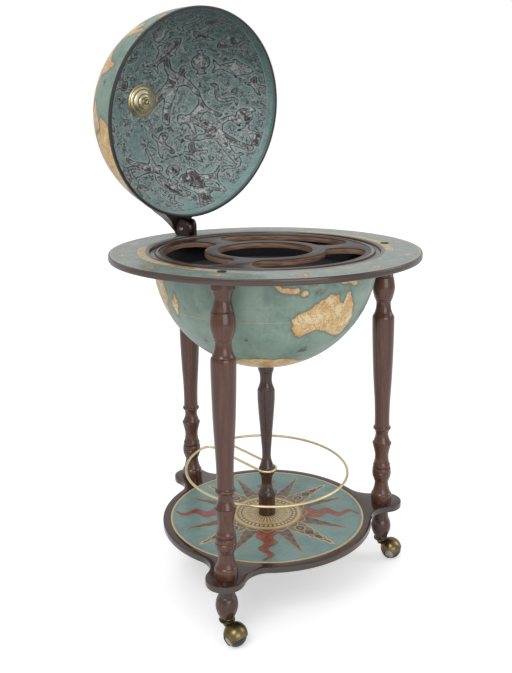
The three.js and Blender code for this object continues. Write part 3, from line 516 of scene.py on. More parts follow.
# Centre post: turned walnut between the shelf and the globe's south pole,
# drawn tight by a screw at each end. The bottle rail is bent round its neck.
post_end = 401.9
post_wood = walnut("post_walnut", (46, 26, 17), (80, 49, 34), "Z", 0.27)
post_side = crisp([
    [(15.6, shelf_top), (15.6, 146.6)],
    [(16.0, 148.0), (15.7, 152), (14.2, 157)],
    [(13.2, 158.4), (11.2, 163.2), (9.7, 170.4), (9.6, 175), (10.7, 184.4), (12.6, 189.6)],
    [(14.0, 190.8), (14.9, 194.2), (15.0, 199.0), (14.4, 202.0)],
    [(13.4, 203.2), (11.2, 210.8), (9.0, 218), (8.2, 223.8), (8.3, 233), (9.2, 245.6), (10.7, 265),
     (12.3, 285.2), (13.6, 300), (14.45, 311.5), (15.6, 328), (16.0, 336), (16.0, 352.4)],
    [(15.0, 353.8), (14.8, 355.2)],
    [(14.0, 356.6), (12.0, 362.5), (10.9, 370.5), (11.4, 378), (12.4, 385.4)],
    [(13.6, 386.6), (14.6, 392), (14.7, 399), (14.7, post_end)],
])
post = turned("turned_post", [(0, shelf_top), *post_side, (0, post_end)], 48, post_wood, 30)
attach(post, "stand")
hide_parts("centre_post")


# Horizon ring: an eleven millimetre board, printed on top under lacquer with
# a scale, ornaments and a gold band, with a turned walnut lip and edge.
def wrapped(angle, period, start):
    """The angle measured from the nearest of the repeated directions."""
    return (angle - start + period / 2) % period - period / 2


ring_print = Finish("ring_print", Roughness=0.28, Coat_Weight=0.6, Coat_Roughness=0.12)
ring_place = ring_print.place()
ring_r, ring_angle = ring_print.polar(axis_y)
ring_paper = ring_print.noise(ring_place, 46, 6.0, 0.6, 0.3)
ring_fine = ring_print.noise(ring_place, 420, 3.0, 0.6)
ring_grit = ring_print.noise(ring_place, 130, 5.0, 0.65)
sea = ring_print.mix(ring_paper.rise(0.3, 0.7), tint(98, 124, 116), tint(138, 156, 146))
sea = ring_print.layered(
    sea,
    (ring_grit.rise(0.45, 0.7) * 0.4, tint(164, 172, 156)),
    (ring_grit.rise(0.48, 0.3) * 0.3, tint(84, 104, 98)),
    (ring_fine.rise(0.4, 0.8) * 0.25, tint(172, 178, 160)),
)
# a faint scale of fine strokes near the edge, and a dotted gold edge line
tick = abs(wrapped(ring_angle, math.radians(2.5), 0.0)) * ring_r
ticks = tick.rise(0.8, 0.35) * ring_r.within(264.5, 267.5, 0.3)
ticks = ticks.most(ring_r.within(263.4, 264.1, 0.25)).most(ring_r.within(267.8, 268.4, 0.25))
sea = ring_print.mix(ticks * 0.28, sea, tint(84, 92, 78))
dot_turn = abs(wrapped(ring_angle, math.radians(1.25), 0.0)).rise(0.0085, 0.006)
sea = ring_print.mix(ring_r.within(271.2, 273.0, 0.3) * (dot_turn * 0.6 + 0.25), sea,
                     tint(200, 172, 116))
# twelve small ornaments with red and gold petals, joined by scrolls
orn_turn = wrapped(ring_angle, math.radians(30), math.radians(1)) * ring_r
orn_in = ring_r - 253.0
orn_span = (orn_turn * orn_turn + orn_in * orn_in * 2.6).root()
orn_angle = (orn_in * 1.6).around(orn_turn)
orn_wave = (orn_angle * 4.0).cosine() * 5.0 + 12.6
petal = (orn_wave - orn_span).rise(-0.4, 0.6)
petal_gold = (orn_wave - orn_span - 5.4).rise(-0.4, 0.6)
orn_lean = abs(wrapped(ring_angle, math.radians(90), math.radians(31))).rise(0.3, 0.2)
petal_colour = ring_print.mix(orn_lean, tint(164, 76, 68), tint(170, 140, 84))
sea = ring_print.layered(
    sea,
    (petal * 0.8, petal_colour),
    (petal_gold * 0.8, tint(210, 186, 132)),
)
scroll = (orn_turn * 0.13).sine() * 5.2 - orn_in - 6.0
scroll_line = abs(scroll).rise(1.2, 0.4) * orn_span.rise(14, 17) * abs(orn_turn).rise(60, 52)
sea = ring_print.mix(scroll_line * 0.6, sea, tint(174, 150, 104))
leaf = abs((orn_turn * 0.26).sine() * 6.0 - orn_in + 4.0).rise(1.9, 0.6) * orn_span.rise(16, 20)
sea = ring_print.mix(leaf * ring_paper.rise(0.42, 0.62) * 0.6, sea, tint(84, 102, 88))
# gold band in two long arcs, and a slanting cream and rose line between them
arc_turn = abs(wrapped(ring_angle, math.pi, math.radians(169.5)))
gold_mask = ring_r.within(213.4, 227.6, 0.4) * arc_turn.rise(0.695, 0.68)
gold_fill = ring_print.mix(
    ring_print.noise(ring_place, 150, 4.0, 0.65).rise(0.35, 0.7), tint(186, 154, 92),
    tint(228, 206, 148),
)
sea = ring_print.mix(gold_mask, sea, gold_fill)
chain = abs((ring_angle * 60.0).sine() * 3.2 - (ring_r - 220.5)).rise(1.0, 0.35)
sea = ring_print.mix(chain * gold_mask * 0.45, sea, tint(140, 98, 58))
gold_break = abs(wrapped(ring_angle, math.radians(13.15), math.radians(169.5))).rise(0.006, 0.004)
sea = ring_print.mix(gold_break * gold_mask * 0.8, sea, tint(120, 96, 62))
band_lines = ring_r.within(227.6, 228.6, 0.25) * arc_turn.rise(0.70, 0.685)
sea = ring_print.mix(band_lines * 0.8, sea, tint(112, 84, 58))
slant = wrapped(ring_angle, math.pi, math.radians(217.5))
slant_r = ring_r - 229.5 - slant * 34.0
slant_mask = abs(slant).rise(0.135, 0.125)
sea = ring_print.layered(
    sea,
    (abs(slant_r).rise(2.6, 1.9) * slant_mask * 0.9, tint(216, 200, 160)),
    (abs(slant_r - 1.2).rise(1.2, 0.6) * slant_mask * 0.8, tint(182, 108, 100)),
)
# dark lacquered lip and edge, its grain running round
ring_x, ring_y, ring_z = ring_print.split(ring_place)
edge_run = ring_print.join(ring_x * 5.0, ring_y * 5.0, ring_z * 260.0 + ring_r * 0.22)
lip_grain = ring_print.noise(edge_run, 2.2, 4.0, 0.55, 0.3)
lip_wood = ring_print.mix(lip_grain.rise(0.3, 0.7), tint(50, 36, 31), tint(80, 62, 54))
on_top = ring_z.rise((ring_top - 0.7) * mm, (ring_top - 0.25) * mm)
printed = on_top * ring_r.within(212.6, 274.6, 0.4)
olive = ring_r.within(210.8, 212.8, 0.3) * on_top
ring_colour = ring_print.mix(printed, lip_wood, sea)
ring_colour = ring_print.mix(olive * 0.7, ring_colour, tint(132, 118, 84))
ring_print.wear(Base_Color=ring_colour, Roughness=0.24 + ring_fine * 0.16)
ring_print.bump(ring_fine * 0.4 + lip_grain * 0.2, 0.05, 0.0004)

ring_hole, ring_edge = 205, 277
ring_profile = [
    (ring_hole, ring_low), (275.2, ring_low), (276.3, ring_low + 0.35), (276.85, ring_low + 1.1),
    (ring_edge, ring_low + 2.1), (ring_edge, ring_top - 2.3), (276.85, ring_top - 1.2),
    (276.3, ring_top - 0.4), (275.2, ring_top - 0.05), (274.6, ring_top), (226.5, ring_top),
    (212.6, ring_top), (211.9, ring_top - 0.5), (211.2, ring_top - 0.15), (209.6, ring_top),
    (207.2, ring_top - 0.1), (205.8, ring_top - 0.6), (205.1, ring_top - 1.7),
    (ring_hole, ring_top - 3), (ring_hole, ring_low),
]
ring = turned("ring_board", ring_profile, 240, ring_print, 40)
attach(ring, "stand")
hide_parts("horizon_ring")

# Seat collar: the turned step inside the ring on which the closed lid
# comes down; glued to the board. Its walnut is near black: a dark stain,
# with painted shade of the groove it lies in between the ring and the tray.
collar_wood_and_shade = walnut("collar_walnut", (24, 14, 11), (42, 27, 22), "X", 0.2)
collar_in, collar_out, collar_top = 195.8, 204.8, 609.7
collar_profile = [
    (collar_in, ring_low), (collar_out, ring_low), (collar_out, 608.2), (204.5, 609.2),
    (203.6, collar_top), (201.4, collar_top), (200.6, 609.2), (199.9, 608.9), (198.6, 608.9),
    (197.6, 609.4), (196.6, collar_top), (195.9, 609.3), (collar_in, 608.6),
    (collar_in, ring_low),
]
collar = turned("seat_step", collar_profile, 200, collar_wood_and_shade, 45)
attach(collar, "stand")
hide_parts("seat_collar")

# Globe print: both halves carry one old-fashioned world map, gold land in a
# green sea. The coast lines are rough outlines by degrees of longitude and
# latitude; each point of a shell knows how far it lies from the nearest coast.
coast_lines = {
    "africa": [(-17, 15), (-16, 21), (-10, 30), (-6, 36), (3, 37), (10, 37), (11, 33), (20, 31),
               (25, 32), (32, 31), (35, 28), (37, 21), (43, 12), (51, 12), (48, 5), (42, -2),
               (39, -7), (41, -15), (35, -22), (33, -28), (27, -34), (19, -35), (15, -27),
               (12, -17), (13, -8), (9, 0), (9, 4), (4, 6), (-7, 4), (-13, 9)],
    "great_isle": [(49, -12), (50, -16), (47, -25), (44, -25), (43, -20), (45, -16)],
    "eurasia": [(-9, 37), (-9, 43), (-1, 44), (-4, 48), (3, 51), (8, 54), (10, 57), (14, 54),
                (21, 55), (28, 60), (22, 63), (16, 57), (11, 59), (5, 60), (12, 66), (20, 70),
                (30, 71), (42, 66), (60, 69), (72, 72), (90, 75), (105, 77), (125, 73),
                (145, 72), (170, 69), (179, 66), (176, 62), (162, 59), (157, 51), (155, 58),
                (140, 54), (135, 44), (129, 41), (129, 35), (126, 35), (125, 39), (121, 39),
                (122, 31), (117, 24), (110, 21), (107, 17), (109, 12), (105, 9), (101, 13),
                (103, 2), (98, 8), (97, 16), (92, 22), (87, 21), (80, 14), (78, 8), (74, 14),
                (72, 21), (67, 25), (58, 25), (52, 30), (48, 30), (52, 25), (56, 26), (59, 22),
                (52, 16), (44, 13), (39, 21), (35, 28), (34, 31), (36, 36), (28, 37), (27, 41),
                (22, 37), (19, 42), (13, 46), (16, 41), (12, 41), (8, 44), (3, 42), (0, 38),
                (-5, 36)],
    "north_isles": [(-5, 50), (1, 52), (-2, 56), (-4, 58), (-6, 56), (-3, 54)],
    "east_isles": [(131, 33), (137, 34), (141, 37), (143, 43), (144, 44), (140, 43), (136, 36)],
    "spice_west": [(95, 5), (100, 2), (105, -4), (108, -6), (115, -6), (115, -9), (106, -8),
                   (99, -1)],
    "spice_middle": [(109, 1), (113, 4), (118, 6), (118, 1), (115, -3), (110, -2)],
    "spice_east": [(131, -1), (141, -2), (147, -5), (150, -9), (144, -7), (138, -6), (133, -3)],
    "middle_isle": [(119, 1), (121, 0.8), (124.5, 1.6), (122, -0.8), (123, -5), (120, -5.5),
                    (119, -2.5)],
    "small_isle_west": [(117, -8), (119.5, -8), (119.5, -9.6), (117, -9.4)],
    "small_isle_middle": [(121.5, -8), (125, -7.8), (126.5, -8.8), (123, -10.2)],
    "small_isle_north": [(127.5, -2.8), (130, -2.6), (130.2, -4.2), (127.6, -4)],
    "small_isle_east": [(132.5, -6), (134.6, -5.8), (134.8, -7.6), (132.8, -7.6)],
    "southland": [(112, -22), (113, -28), (115, -33), (121, -32), (127, -30), (134, -31),
                  (140, -34), (147, -37), (152, -36), (154, -29), (152, -22), (147, -16),
                  (143.5, -9), (142, -13), (141, -17), (138, -16), (137, -11), (132, -11),
                  (129, -13), (124, -14), (120, -17), (116, -19)],
    "far_isles": [(173, -35), (178, -38), (174, -42), (167, -46), (170, -43), (174, -39)],
    "south_pole": [(-180, -90), (-180, -68), (-120, -72), (-60, -63), (0, -67), (30, -64),
                   (63, -60), (79, -53), (97, -51), (115, -52), (135, -58), (160, -64),
                   (180, -68), (180, -90)],
    "north_america": [(-168, 66), (-156, 71), (-128, 70), (-95, 68), (-82, 68), (-95, 60),
                      (-82, 53), (-78, 62), (-65, 60), (-56, 52), (-66, 45), (-70, 42),
                      (-76, 35), (-81, 31), (-80, 26), (-84, 30), (-97, 28), (-97, 20),
                      (-90, 21), (-87, 16), (-83, 10), (-78, 9), (-86, 12), (-95, 16),
                      (-106, 23), (-113, 31), (-110, 24), (-118, 34), (-124, 43), (-132, 55),
                      (-150, 60), (-162, 56), (-165, 61)],
    "ice_land": [(-45, 60), (-22, 70), (-20, 80), (-40, 83), (-60, 80), (-55, 70)],
    "south_america": [(-78, 9), (-72, 12), (-60, 9), (-50, 1), (-35, -6), (-39, -17), (-48, -26),
                      (-57, -36), (-65, -42), (-68, -54), (-74, -50), (-72, -30), (-70, -18),
                      (-80, -5), (-80, 2)],
}
map_turn = 232.0
globe_r = 200.0
lining_r = 196.0


def line_distance(points, starts, ends):
    """Least distance from each point to any of the straight pieces."""
    best = np.full(len(points), 1e9)
    for start, end in zip(starts, ends):
        run = end - start
        length = max(float(run @ run), 1e-9)
        part = np.clip(((points - start) @ run) / length, 0, 1)
        gap = points - start - part[:, None] * run
        best = np.minimum(best, np.einsum("ij,ij->i", gap, gap))
    return np.sqrt(best)


def edges(outline):
    """The pairs of points that a closed outline joins."""
    return zip(outline, outline[1:] + outline[:1])


def inside(across, up, outline):
    """Whether each point lies inside a closed outline, by crossings."""
    hit = np.zeros(len(across), bool)
    for (x0, y0), (x1, y1) in edges(outline):
        if y0 == y1:
            continue
        span = (up > min(y0, y1)) & (up <= max(y0, y1))
        hit ^= span & (across < x0 + (up - y0) * (x1 - x0) / (y1 - y0))
    return hit


def on_globe(longitude, latitude):
    lon, lat = np.radians(longitude - map_turn), np.radians(latitude)
    return np.stack([np.cos(lat) * np.cos(lon), np.cos(lat) * np.sin(lon), np.sin(lat)], -1)


def coast_gap(units):
    """Signed distance in mm from the coast, above zero at sea."""
    lat = np.degrees(np.arcsin(np.clip(units[:, 2], -1, 1)))
    lon = np.degrees(np.arctan2(units[:, 1], units[:, 0])) + map_turn
    lon = (lon + 180) % 360 - 180
    starts, ends = [], []
    land = np.zeros(len(units), bool)
    for outline in coast_lines.values():
        land |= inside(lon, lat, outline)
        for (x0, y0), (x1, y1) in edges(outline):
            if (abs(x0) == 180 and x0 == x1) or (y0 == -90 and y1 == -90):
                continue
            parts = max(1, int(max(abs(x1 - x0), abs(y1 - y0)) / 6))
            t = np.linspace(0, 1, parts + 1)
            line = on_globe(x0 + (x1 - x0) * t, y0 + (y1 - y0) * t)
            starts.extend(line[:-1])
            ends.extend(line[1:])
    gap = line_distance(units, np.array(starts), np.array(ends)) * globe_r
    return np.where(land, -gap, gap)


def marked(mesh, name, values):
    """Gives each point of a mesh a number or a vector under a name."""
    values = np.asarray(values, np.float32)
    kind, field = ("FLOAT", "value") if values.ndim == 1 else ("FLOAT_VECTOR", "vector")
    layer = mesh.attributes.new(name, kind, "POINT")
    layer.data.foreach_set(field, values.ravel())


def mapped(mesh, units):
    """Gives a shell its place on the globe and its distance from the coast."""
    marked(mesh, "coast", coast_gap(units))
    marked(mesh, "globe", units)


map_print = Finish("map_print", Roughness=0.36, Coat_Weight=0.25, Coat_Roughness=0.2)
globe = map_print.attribute("globe", "Vector")
coast = map_print.attribute("coast")
shore = map_print.noise(globe, 9, 6.0, 0.62)
coast = coast + (shore - 0.5) * 20.0
gx, gy, gz = map_print.split(globe)
lon_angle = gy.around(gx)
level = (1.0 - gz * gz).most(0.001).root()
lat_angle = map_print.node("ShaderNodeMath", {"operation": "ARCSINE"}, gz)
cloud = map_print.noise(globe, 3.2, 5.0, 0.6, 0.4)
paper = map_print.noise(globe, 22, 6.0, 0.65, 0.2)
speck = map_print.noise(globe, 120, 3.0, 0.6)
water = map_print.mix(cloud.rise(0.3, 0.7), tint(102, 130, 118), tint(138, 162, 148))
water = map_print.layered(
    water,
    (paper.rise(0.35, 0.75) * 0.4, tint(154, 172, 156)),
    (speck.rise(0.55, 0.75) * 0.25, tint(96, 112, 98)),
)
streak = map_print.noise(map_print.stretched(globe, 1, 1, 14), 6, 4.0, 0.6)
water = map_print.mix(streak.rise(0.55, 0.8) * 0.25, water, tint(152, 170, 154))
# a grid line every fifteen degrees, both tropics, and a dashed course near the southern one
grid_lon = abs(wrapped(lon_angle, math.radians(15), 0.0)) * level * globe_r
grid_lat = abs(wrapped(lat_angle, math.radians(15), 0.0)) * globe_r
grid = grid_lon.rise(0.7, 0.25).most(grid_lat.rise(0.7, 0.25))
water = map_print.mix(grid * 0.22, water, tint(176, 184, 160))
tropic = abs(abs(lat_angle) - math.radians(23.5)) * globe_r
water = map_print.mix(tropic.rise(1.1, 0.4) * 0.5, water, tint(190, 176, 150))
dashes = abs(wrapped(lon_angle, math.radians(2.4), 0.0)).rise(math.radians(0.85), math.radians(0.6))
dash_row = lat_angle * globe_r + 72.0 + (lon_angle * 2.0).sine() * 4.0
water = map_print.mix(abs(dash_row).rise(1.3, 0.5) * dashes * 0.6, water, tint(186, 138, 116))
shade = coast.rise(6.0, 0.5)
hatch = abs(wrapped(lat_angle * globe_r, 2.4, 0.0)).rise(0.8, 0.3)
water = map_print.layered(
    water,
    (coast.rise(8.0, 1.0) * hatch * 0.4, tint(80, 100, 90)),
    (shade * 0.35, tint(84, 110, 100)),
)
rim = abs(coast - 1.7).rise(0.5, 0.15)
water = map_print.mix(rim * 0.35, water, tint(78, 96, 84))
# land: gold and cream with brown relief and red bounds
relief = map_print.noise(globe, 15, 7.0, 0.7, 0.6)
patch = map_print.noise(globe, 5.5, 3.0, 0.5)
land = map_print.mix(patch.rise(0.35, 0.65), tint(222, 188, 120), tint(236, 216, 172))
land = map_print.mix(relief.rise(0.48, 0.66) * 0.75, land, tint(196, 138, 66))
ridge = abs(map_print.noise(globe, 11, 4.0, 0.6, 0.8) - 0.5).rise(0.03, 0.008)
land = map_print.layered(
    land,
    (ridge * 0.5, tint(142, 104, 66)),
    (speck.rise(0.5, 0.75) * 0.35, tint(150, 116, 70)),
)
town = map_print.noise(globe, 46, 2.0, 0.5)
land = map_print.mix(town.rise(0.66, 0.72) * 0.6, land, tint(112, 76, 48))
bounds_at = map_print.node(
    "ShaderNodeVectorMath", {"operation": "MULTIPLY_ADD"},
    map_print.noise(globe, 8, 3.0, 0.5, out="Color"), (0.16, 0.16, 0.16), globe,
)
bounds_cell = map_print.node(
    "ShaderNodeTexVoronoi", {"feature": "DISTANCE_TO_EDGE"}, Vector=bounds_at, Scale=5.2,
    out="Distance",
)
ochre = map_print.noise(globe, 7.5, 4.0, 0.6, 0.3).rise(0.5, 0.6)
land = map_print.layered(
    land,
    (ochre * 0.45, tint(208, 148, 76)),
    (bounds_cell.rise(0.02, 0.006) * 0.5, tint(164, 96, 66)),
    (coast.rise(-4.5, -0.5) * 0.55, tint(206, 146, 84)),
)
chart = map_print.mix(coast.rise(-0.15, 0.15), land, water)
chart = map_print.mix(abs(coast).rise(0.62, 0.2) * 0.75, chart, tint(96, 70, 48))


def sailing_ship(across, up, size):
    """A small hull with two sails, as old sea charts have them."""
    u = wrapped(lon_angle, 2 * math.pi, math.radians(across - map_turn))
    u = u * (math.cos(math.radians(up)) * globe_r / size)
    v = (lat_angle - math.radians(up)) * (globe_r / size)
    hull = (abs(u) * 0.8 + abs(v + 0.45) * 1.9).rise(1.0, 0.8)
    sail = (abs(u - 0.3) * 1.7 + abs(v - 0.25)).rise(0.75, 0.6)
    jib = (abs(u + 0.45) * 2.2 + abs(v - 0.12)).rise(0.6, 0.45)
    wake = abs(v + 0.85 + (u * 5.0).sine() * 0.08).rise(0.14, 0.05) * abs(u).rise(1.3, 1.1)
    return hull.most(sail * 0.7).most(jib * 0.7).most(wake * 0.6)


fleet = sailing_ship(124, -43, 10.0)
for ship in ((68, 13, 7.0), (60, -38, 5.0), (-30, 30, 8.0), (-140, -15, 8.0), (-150, 40, 8.0),
             (88, -34, 4.0)):
    fleet = fleet.most(sailing_ship(*ship))
chart = map_print.mix(fleet * 0.8, chart, tint(56, 68, 62))
map_print.wear(Base_Color=chart, Roughness=0.32 + paper * 0.14)
map_print.bump(speck * 0.3 + abs(coast).rise(0.7, 0.1) * -0.5, 0.05, 0.0003)


def shell_grid(start, stop, rows, steps):
    """Unit vectors on rows of latitude between two angles."""
    lat = np.linspace(start, stop, rows + 1)[:, None]
    lon = np.linspace(0, 2 * np.pi, steps, endpoint=False)[None, :]
    return np.stack([
        np.cos(lat) * np.cos(lon), np.cos(lat) * np.sin(lon), np.repeat(np.sin(lat), steps, 1),
    ], -1)


def shell_mesh(name, outer_r, inner_r, start, stop, rows, steps, coarse):
    """A closed half shell from its rim to its pole, fine on one skin."""
    verts, faces = [], []

    def skin(radius, count, flip):
        base = len(verts)
        for row in shell_grid(start, stop, count, steps)[:-1]:
            verts.extend((row * radius * mm).tolist())
        tip = len(verts)
        verts.append((0, 0, math.copysign(radius * mm, stop)))
        for i in range(count):
            for k in range(steps):
                a, b = base + i * steps + k, base + i * steps + (k + 1) % steps
                top = (b + steps, a + steps) if i < count - 1 else (tip,)
                faces.append((a, b, *top)[::flip])
        return base

    first = skin(outer_r, rows, 1)
    second = skin(inner_r, coarse, -1)
    for k in range(steps):
        a, b = k, (k + 1) % steps
        faces.append((first + b, first + a, second + a, second + b))
    mesh = bpy.data.meshes.new(name)
    mesh.from_pydata(verts, [], faces)
    units = np.array(verts)
    units /= np.linalg.norm(units, axis=1)[:, None]
    return mesh, units


# Lower half of the globe: a moulded shell of four millimetres, covered with
# the printed paper and lacquered, hung under the ring.
pole = math.pi / 2
bowl_mesh, bowl_units = shell_mesh("bowl_map", globe_r, lining_r, 0.0, -pole, 96, 300, 16)
mapped(bowl_mesh, bowl_units)
bowl_mesh.flip_normals()
bowl_mesh.transform(Matrix.Translation((0, axis_y, ring_low * mm)))
bowl = as_is("bowl_map", bowl_mesh, map_print, 50)
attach(bowl, "stand")
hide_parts("bowl_shell")

# Lid: the upper half, hinged at the back and standing open. The outside
# carries the map; the parts are made closed and turned open about the pin.
lid_low = 610.2
lid_angle = math.radians(81.7)
band_high = 6.5
pivot = Vector((0, 174.868 * mm, 626.8 * mm))
opened = (
    Matrix.Translation(pivot) @ Matrix.Rotation(-lid_angle, 4, "X")
    @ Matrix.Translation(-pivot) @ Matrix.Translation((0, axis_y, lid_low * mm))
)
lid_start = math.asin(band_high / globe_r)
lid_mesh, lid_units = shell_mesh("lid_map", 199.9, 198.2, lid_start, pole, 96, 300, 16)
mapped(lid_mesh, lid_units)
lid_mesh.transform(opened)
lid_piece = as_is("lid_map", lid_mesh, map_print, 50)
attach(lid_piece, "lid")
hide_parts("lid_shell")

# Lining of the lid: a printed sky in grey green, with generic beasts, ships,
# urns and robed figures as line work with pale outlines, in a layout of its own.
figure_outlines = {
    "fish": [(-1, 0), (-0.75, 0.28), (-0.3, 0.42), (0, 0.62), (0.1, 0.38), (0.45, 0.2),
             (0.7, 0.12), (1, 0.42), (0.9, 0), (1, -0.38), (0.7, -0.1), (0.35, -0.2),
             (0, -0.35), (-0.1, -0.55), (-0.25, -0.36), (-0.7, -0.25)],
    "bird": [(-1, 0.1), (-0.8, 0.2), (-0.45, 0.12), (-0.5, 0.6), (-0.15, 1), (0, 0.7),
             (0.05, 0.35), (0.35, 0.2), (0.9, 0.25), (1, 0.05), (0.85, -0.15), (0.4, -0.05),
             (0.3, -0.4), (0.5, -0.95), (0.1, -0.75), (-0.15, -0.35), (-0.4, -0.12),
             (-0.75, -0.05)],
    "beast": [(-1, 0.35), (-0.95, 0.6), (-0.75, 0.75), (-0.5, 0.65), (-0.35, 0.4), (0.2, 0.35),
              (0.6, 0.45), (0.8, 0.75), (0.95, 0.95), (0.9, 0.65), (0.75, 0.3), (0.7, -0.1),
              (0.85, -0.6), (0.95, -0.85), (0.7, -0.85), (0.6, -0.45), (0.4, -0.15),
              (-0.1, -0.2), (-0.15, -0.6), (-0.05, -0.9), (-0.35, -0.85), (-0.4, -0.4),
              (-0.5, -0.1), (-0.75, -0.45), (-0.95, -0.5), (-0.8, -0.15), (-0.7, 0.15),
              (-0.85, 0.3)],
    "ship": [(-1, -0.3), (-0.9, -0.05), (-0.5, -0.12), (-0.45, 0.2), (-0.7, 0.3), (-0.6, 0.8),
             (-0.3, 0.95), (-0.1, 0.6), (-0.15, 0.2), (-0.1, -0.1), (0.15, -0.1), (0.15, 0.25),
             (0.05, 0.7), (0.3, 1), (0.6, 0.7), (0.55, 0.25), (0.3, 0.15), (0.35, -0.1),
             (0.8, 0), (1, 0.2), (0.95, -0.25), (0.7, -0.65), (0, -0.75), (-0.7, -0.65)],
    "urn": [(-0.3, 1), (0.3, 1), (0.22, 0.8), (0.12, 0.65), (0.5, 0.4), (0.65, 0), (0.5, -0.45),
            (0.2, -0.75), (0.35, -1), (-0.35, -1), (-0.2, -0.75), (-0.5, -0.45), (-0.65, 0),
            (-0.5, 0.4), (-0.12, 0.65), (-0.22, 0.8)],
    "robe": [(0, 1), (0.12, 0.95), (0.13, 0.8), (0.06, 0.7), (0.3, 0.62), (0.55, 0.78),
             (0.8, 0.98), (0.88, 0.9), (0.65, 0.6), (0.35, 0.42), (0.22, 0.2), (0.3, -0.2),
             (0.42, -0.6), (0.5, -1), (0.25, -0.98), (0.1, -0.45), (0, -0.3), (-0.1, -0.5),
             (-0.3, -1), (-0.52, -0.95), (-0.35, -0.5), (-0.28, -0.1), (-0.22, 0.25),
             (-0.45, 0.45), (-0.85, 0.35), (-0.9, 0.48), (-0.45, 0.62), (-0.12, 0.7),
             (-0.12, 0.88)],
    "serpent": [(-1, 0.1), (-0.85, 0.3), (-0.6, 0.32), (-0.35, 0.1), (-0.1, -0.15), (0.2, -0.1),
                (0.4, 0.2), (0.65, 0.4), (0.9, 0.3), (1, 0.05), (0.8, 0.15), (0.62, 0.18),
                (0.45, -0.1), (0.2, -0.35), (-0.15, -0.38), (-0.45, -0.12), (-0.62, 0.08),
                (-0.78, 0.08)],
}
figure_order = ["robe", "beast", "bird", "fish", "ship", "beast", "serpent", "robe", "urn",
                "beast", "bird", "fish", "robe", "serpent", "beast", "ship", "bird", "urn"]
figure_count, golden_turn = 40, 2.39996
first_reach, last_reach = 50, 274
sky_figures = []
for index in range(figure_count):
    reach = first_reach + (last_reach - first_reach) * math.sqrt((index + 0.2) / figure_count)
    round_angle = index * golden_turn + 0.35
    name = figure_order[index % len(figure_order)]
    size = (52, 38, 30, 46, 27, 41)[index % 6] * (1.25 if name == "robe" else 1.0)
    turn = round_angle + (index * 1.7) % 2.2 - 0.8
    flip = -1 if index % 3 == 0 else 1
    c, s = math.cos(turn), math.sin(turn)
    middle = (reach * math.cos(round_angle), reach * math.sin(round_angle))
    sky_figures.append([
        (middle[0] + size * (x * flip * c - y * s), middle[1] + size * (x * flip * s + y * c))
        for x, y in flowing(figure_outlines[name] + [figure_outlines[name][0]], 3)[:-1]
    ])

lining_mesh, lining_units = shell_mesh("lid_lining", 196.05, 198.1, lid_start, pole, 150, 480, 12)
# each point's place on the flattened sky and its distance from the nearest figure
from_pole = np.arccos(np.clip(lining_units[:, 2], -1, 1)) * lining_r
round_pole = np.arctan2(-lining_units[:, 1], lining_units[:, 0])
sky_u, sky_v = from_pole * np.cos(round_pole), from_pole * np.sin(round_pole)
sky_points = np.stack([sky_u, sky_v], -1)
figure_reach = 95
sky_gap = np.full(len(sky_points), 60.0)
for outline in sky_figures:
    corners = np.array(outline)
    near = np.where((np.abs(sky_points - corners.mean(0)) < figure_reach).all(1))[0]
    gap = line_distance(sky_points[near], corners, np.roll(corners, -1, 0))
    within = inside(sky_u[near], sky_v[near], outline)
    sky_gap[near] = np.minimum(sky_gap[near], np.where(within, -gap, gap))
marked(lining_mesh, "figure", sky_gap)
marked(lining_mesh, "sky", np.stack([sky_u, sky_v, sky_u * 0], -1))

sky_print = Finish("sky_print", Roughness=0.45, Coat_Weight=0.12, Coat_Roughness=0.25)
sky_at = sky_print.attribute("sky", "Vector")
sky_across, sky_up, _ = sky_print.split(sky_at)
sky_r = (sky_across * sky_across + sky_up * sky_up).root()
figure = sky_print.attribute("figure")
wobble = sky_print.noise(sky_at, 0.1, 4.0, 0.6)
sky_edge = 284.0
figure = (figure + (wobble - 0.5) * 6.5).most(sky_r - sky_edge)
sky_cloud = sky_print.noise(sky_at, 0.018, 4.0, 0.55)
sky_grit = sky_print.noise(sky_at, 0.5, 5.0, 0.65)
sky_mid = sky_print.noise(sky_at, 0.12, 5.0, 0.65)
ground = sky_print.mix(sky_cloud.rise(0.3, 0.7), tint(96, 130, 126), tint(142, 170, 166))
# painted reflection: a pale lilac toward the low left of the lining, as the white studio mirrored
# in it
painted_lilac_reflection = sky_across.rise(60, -230) * sky_up.rise(140, -160)
ground = sky_print.layered(
    ground,
    (painted_lilac_reflection * 0.7, tint(178, 184, 194)),
    (sky_mid.rise(0.42, 0.62) * 0.55, tint(160, 182, 180)),
    (sky_mid.rise(0.5, 0.34) * 0.35, tint(66, 88, 86)),
    (sky_grit.rise(0.4, 0.8) * 0.3, tint(156, 170, 168)),
    # painted light: the lining is made lighter toward the hinge, the low part of the open lid,
    # where it faces up
    (sky_up.rise(-10, -190) * 0.5, tint(164, 192, 188)),
)
# light contour rings round each figure, as engraved echoes
echo = abs(wrapped(figure, 4.2, 2.4)).rise(0.8, 0.3) * figure.rise(15, 5) * figure.rise(0.8, 1.6)
ground = sky_print.mix(echo * 0.5, ground, tint(186, 196, 192))
# fine line work between the figures, in patches: dark strokes with pale ones beside them
apart = figure.rise(1.5, 3.5) * sky_r.rise(sky_edge, sky_edge - 3)
busy = sky_print.noise(sky_at, 0.02, 2.0, 0.5).rise(0.38, 0.5)
for reach, bend, width, ink in ((0.03, 1.8, 0.036, 0.85), (0.055, 1.5, 0.055, 0.75),
                                (0.11, 1.2, 0.07, 0.35)):
    loose = sky_print.noise(sky_at, reach, 1.0, 0.5, bend) - 0.5
    strength = apart * busy * ink
    ground = sky_print.layered(
        ground,
        (abs(loose).rise(width, width * 0.4) * strength, tint(58, 60, 66)),
        (abs(loose - width * 1.6).rise(width, width * 0.4) * strength, tint(188, 198, 196)),
    )
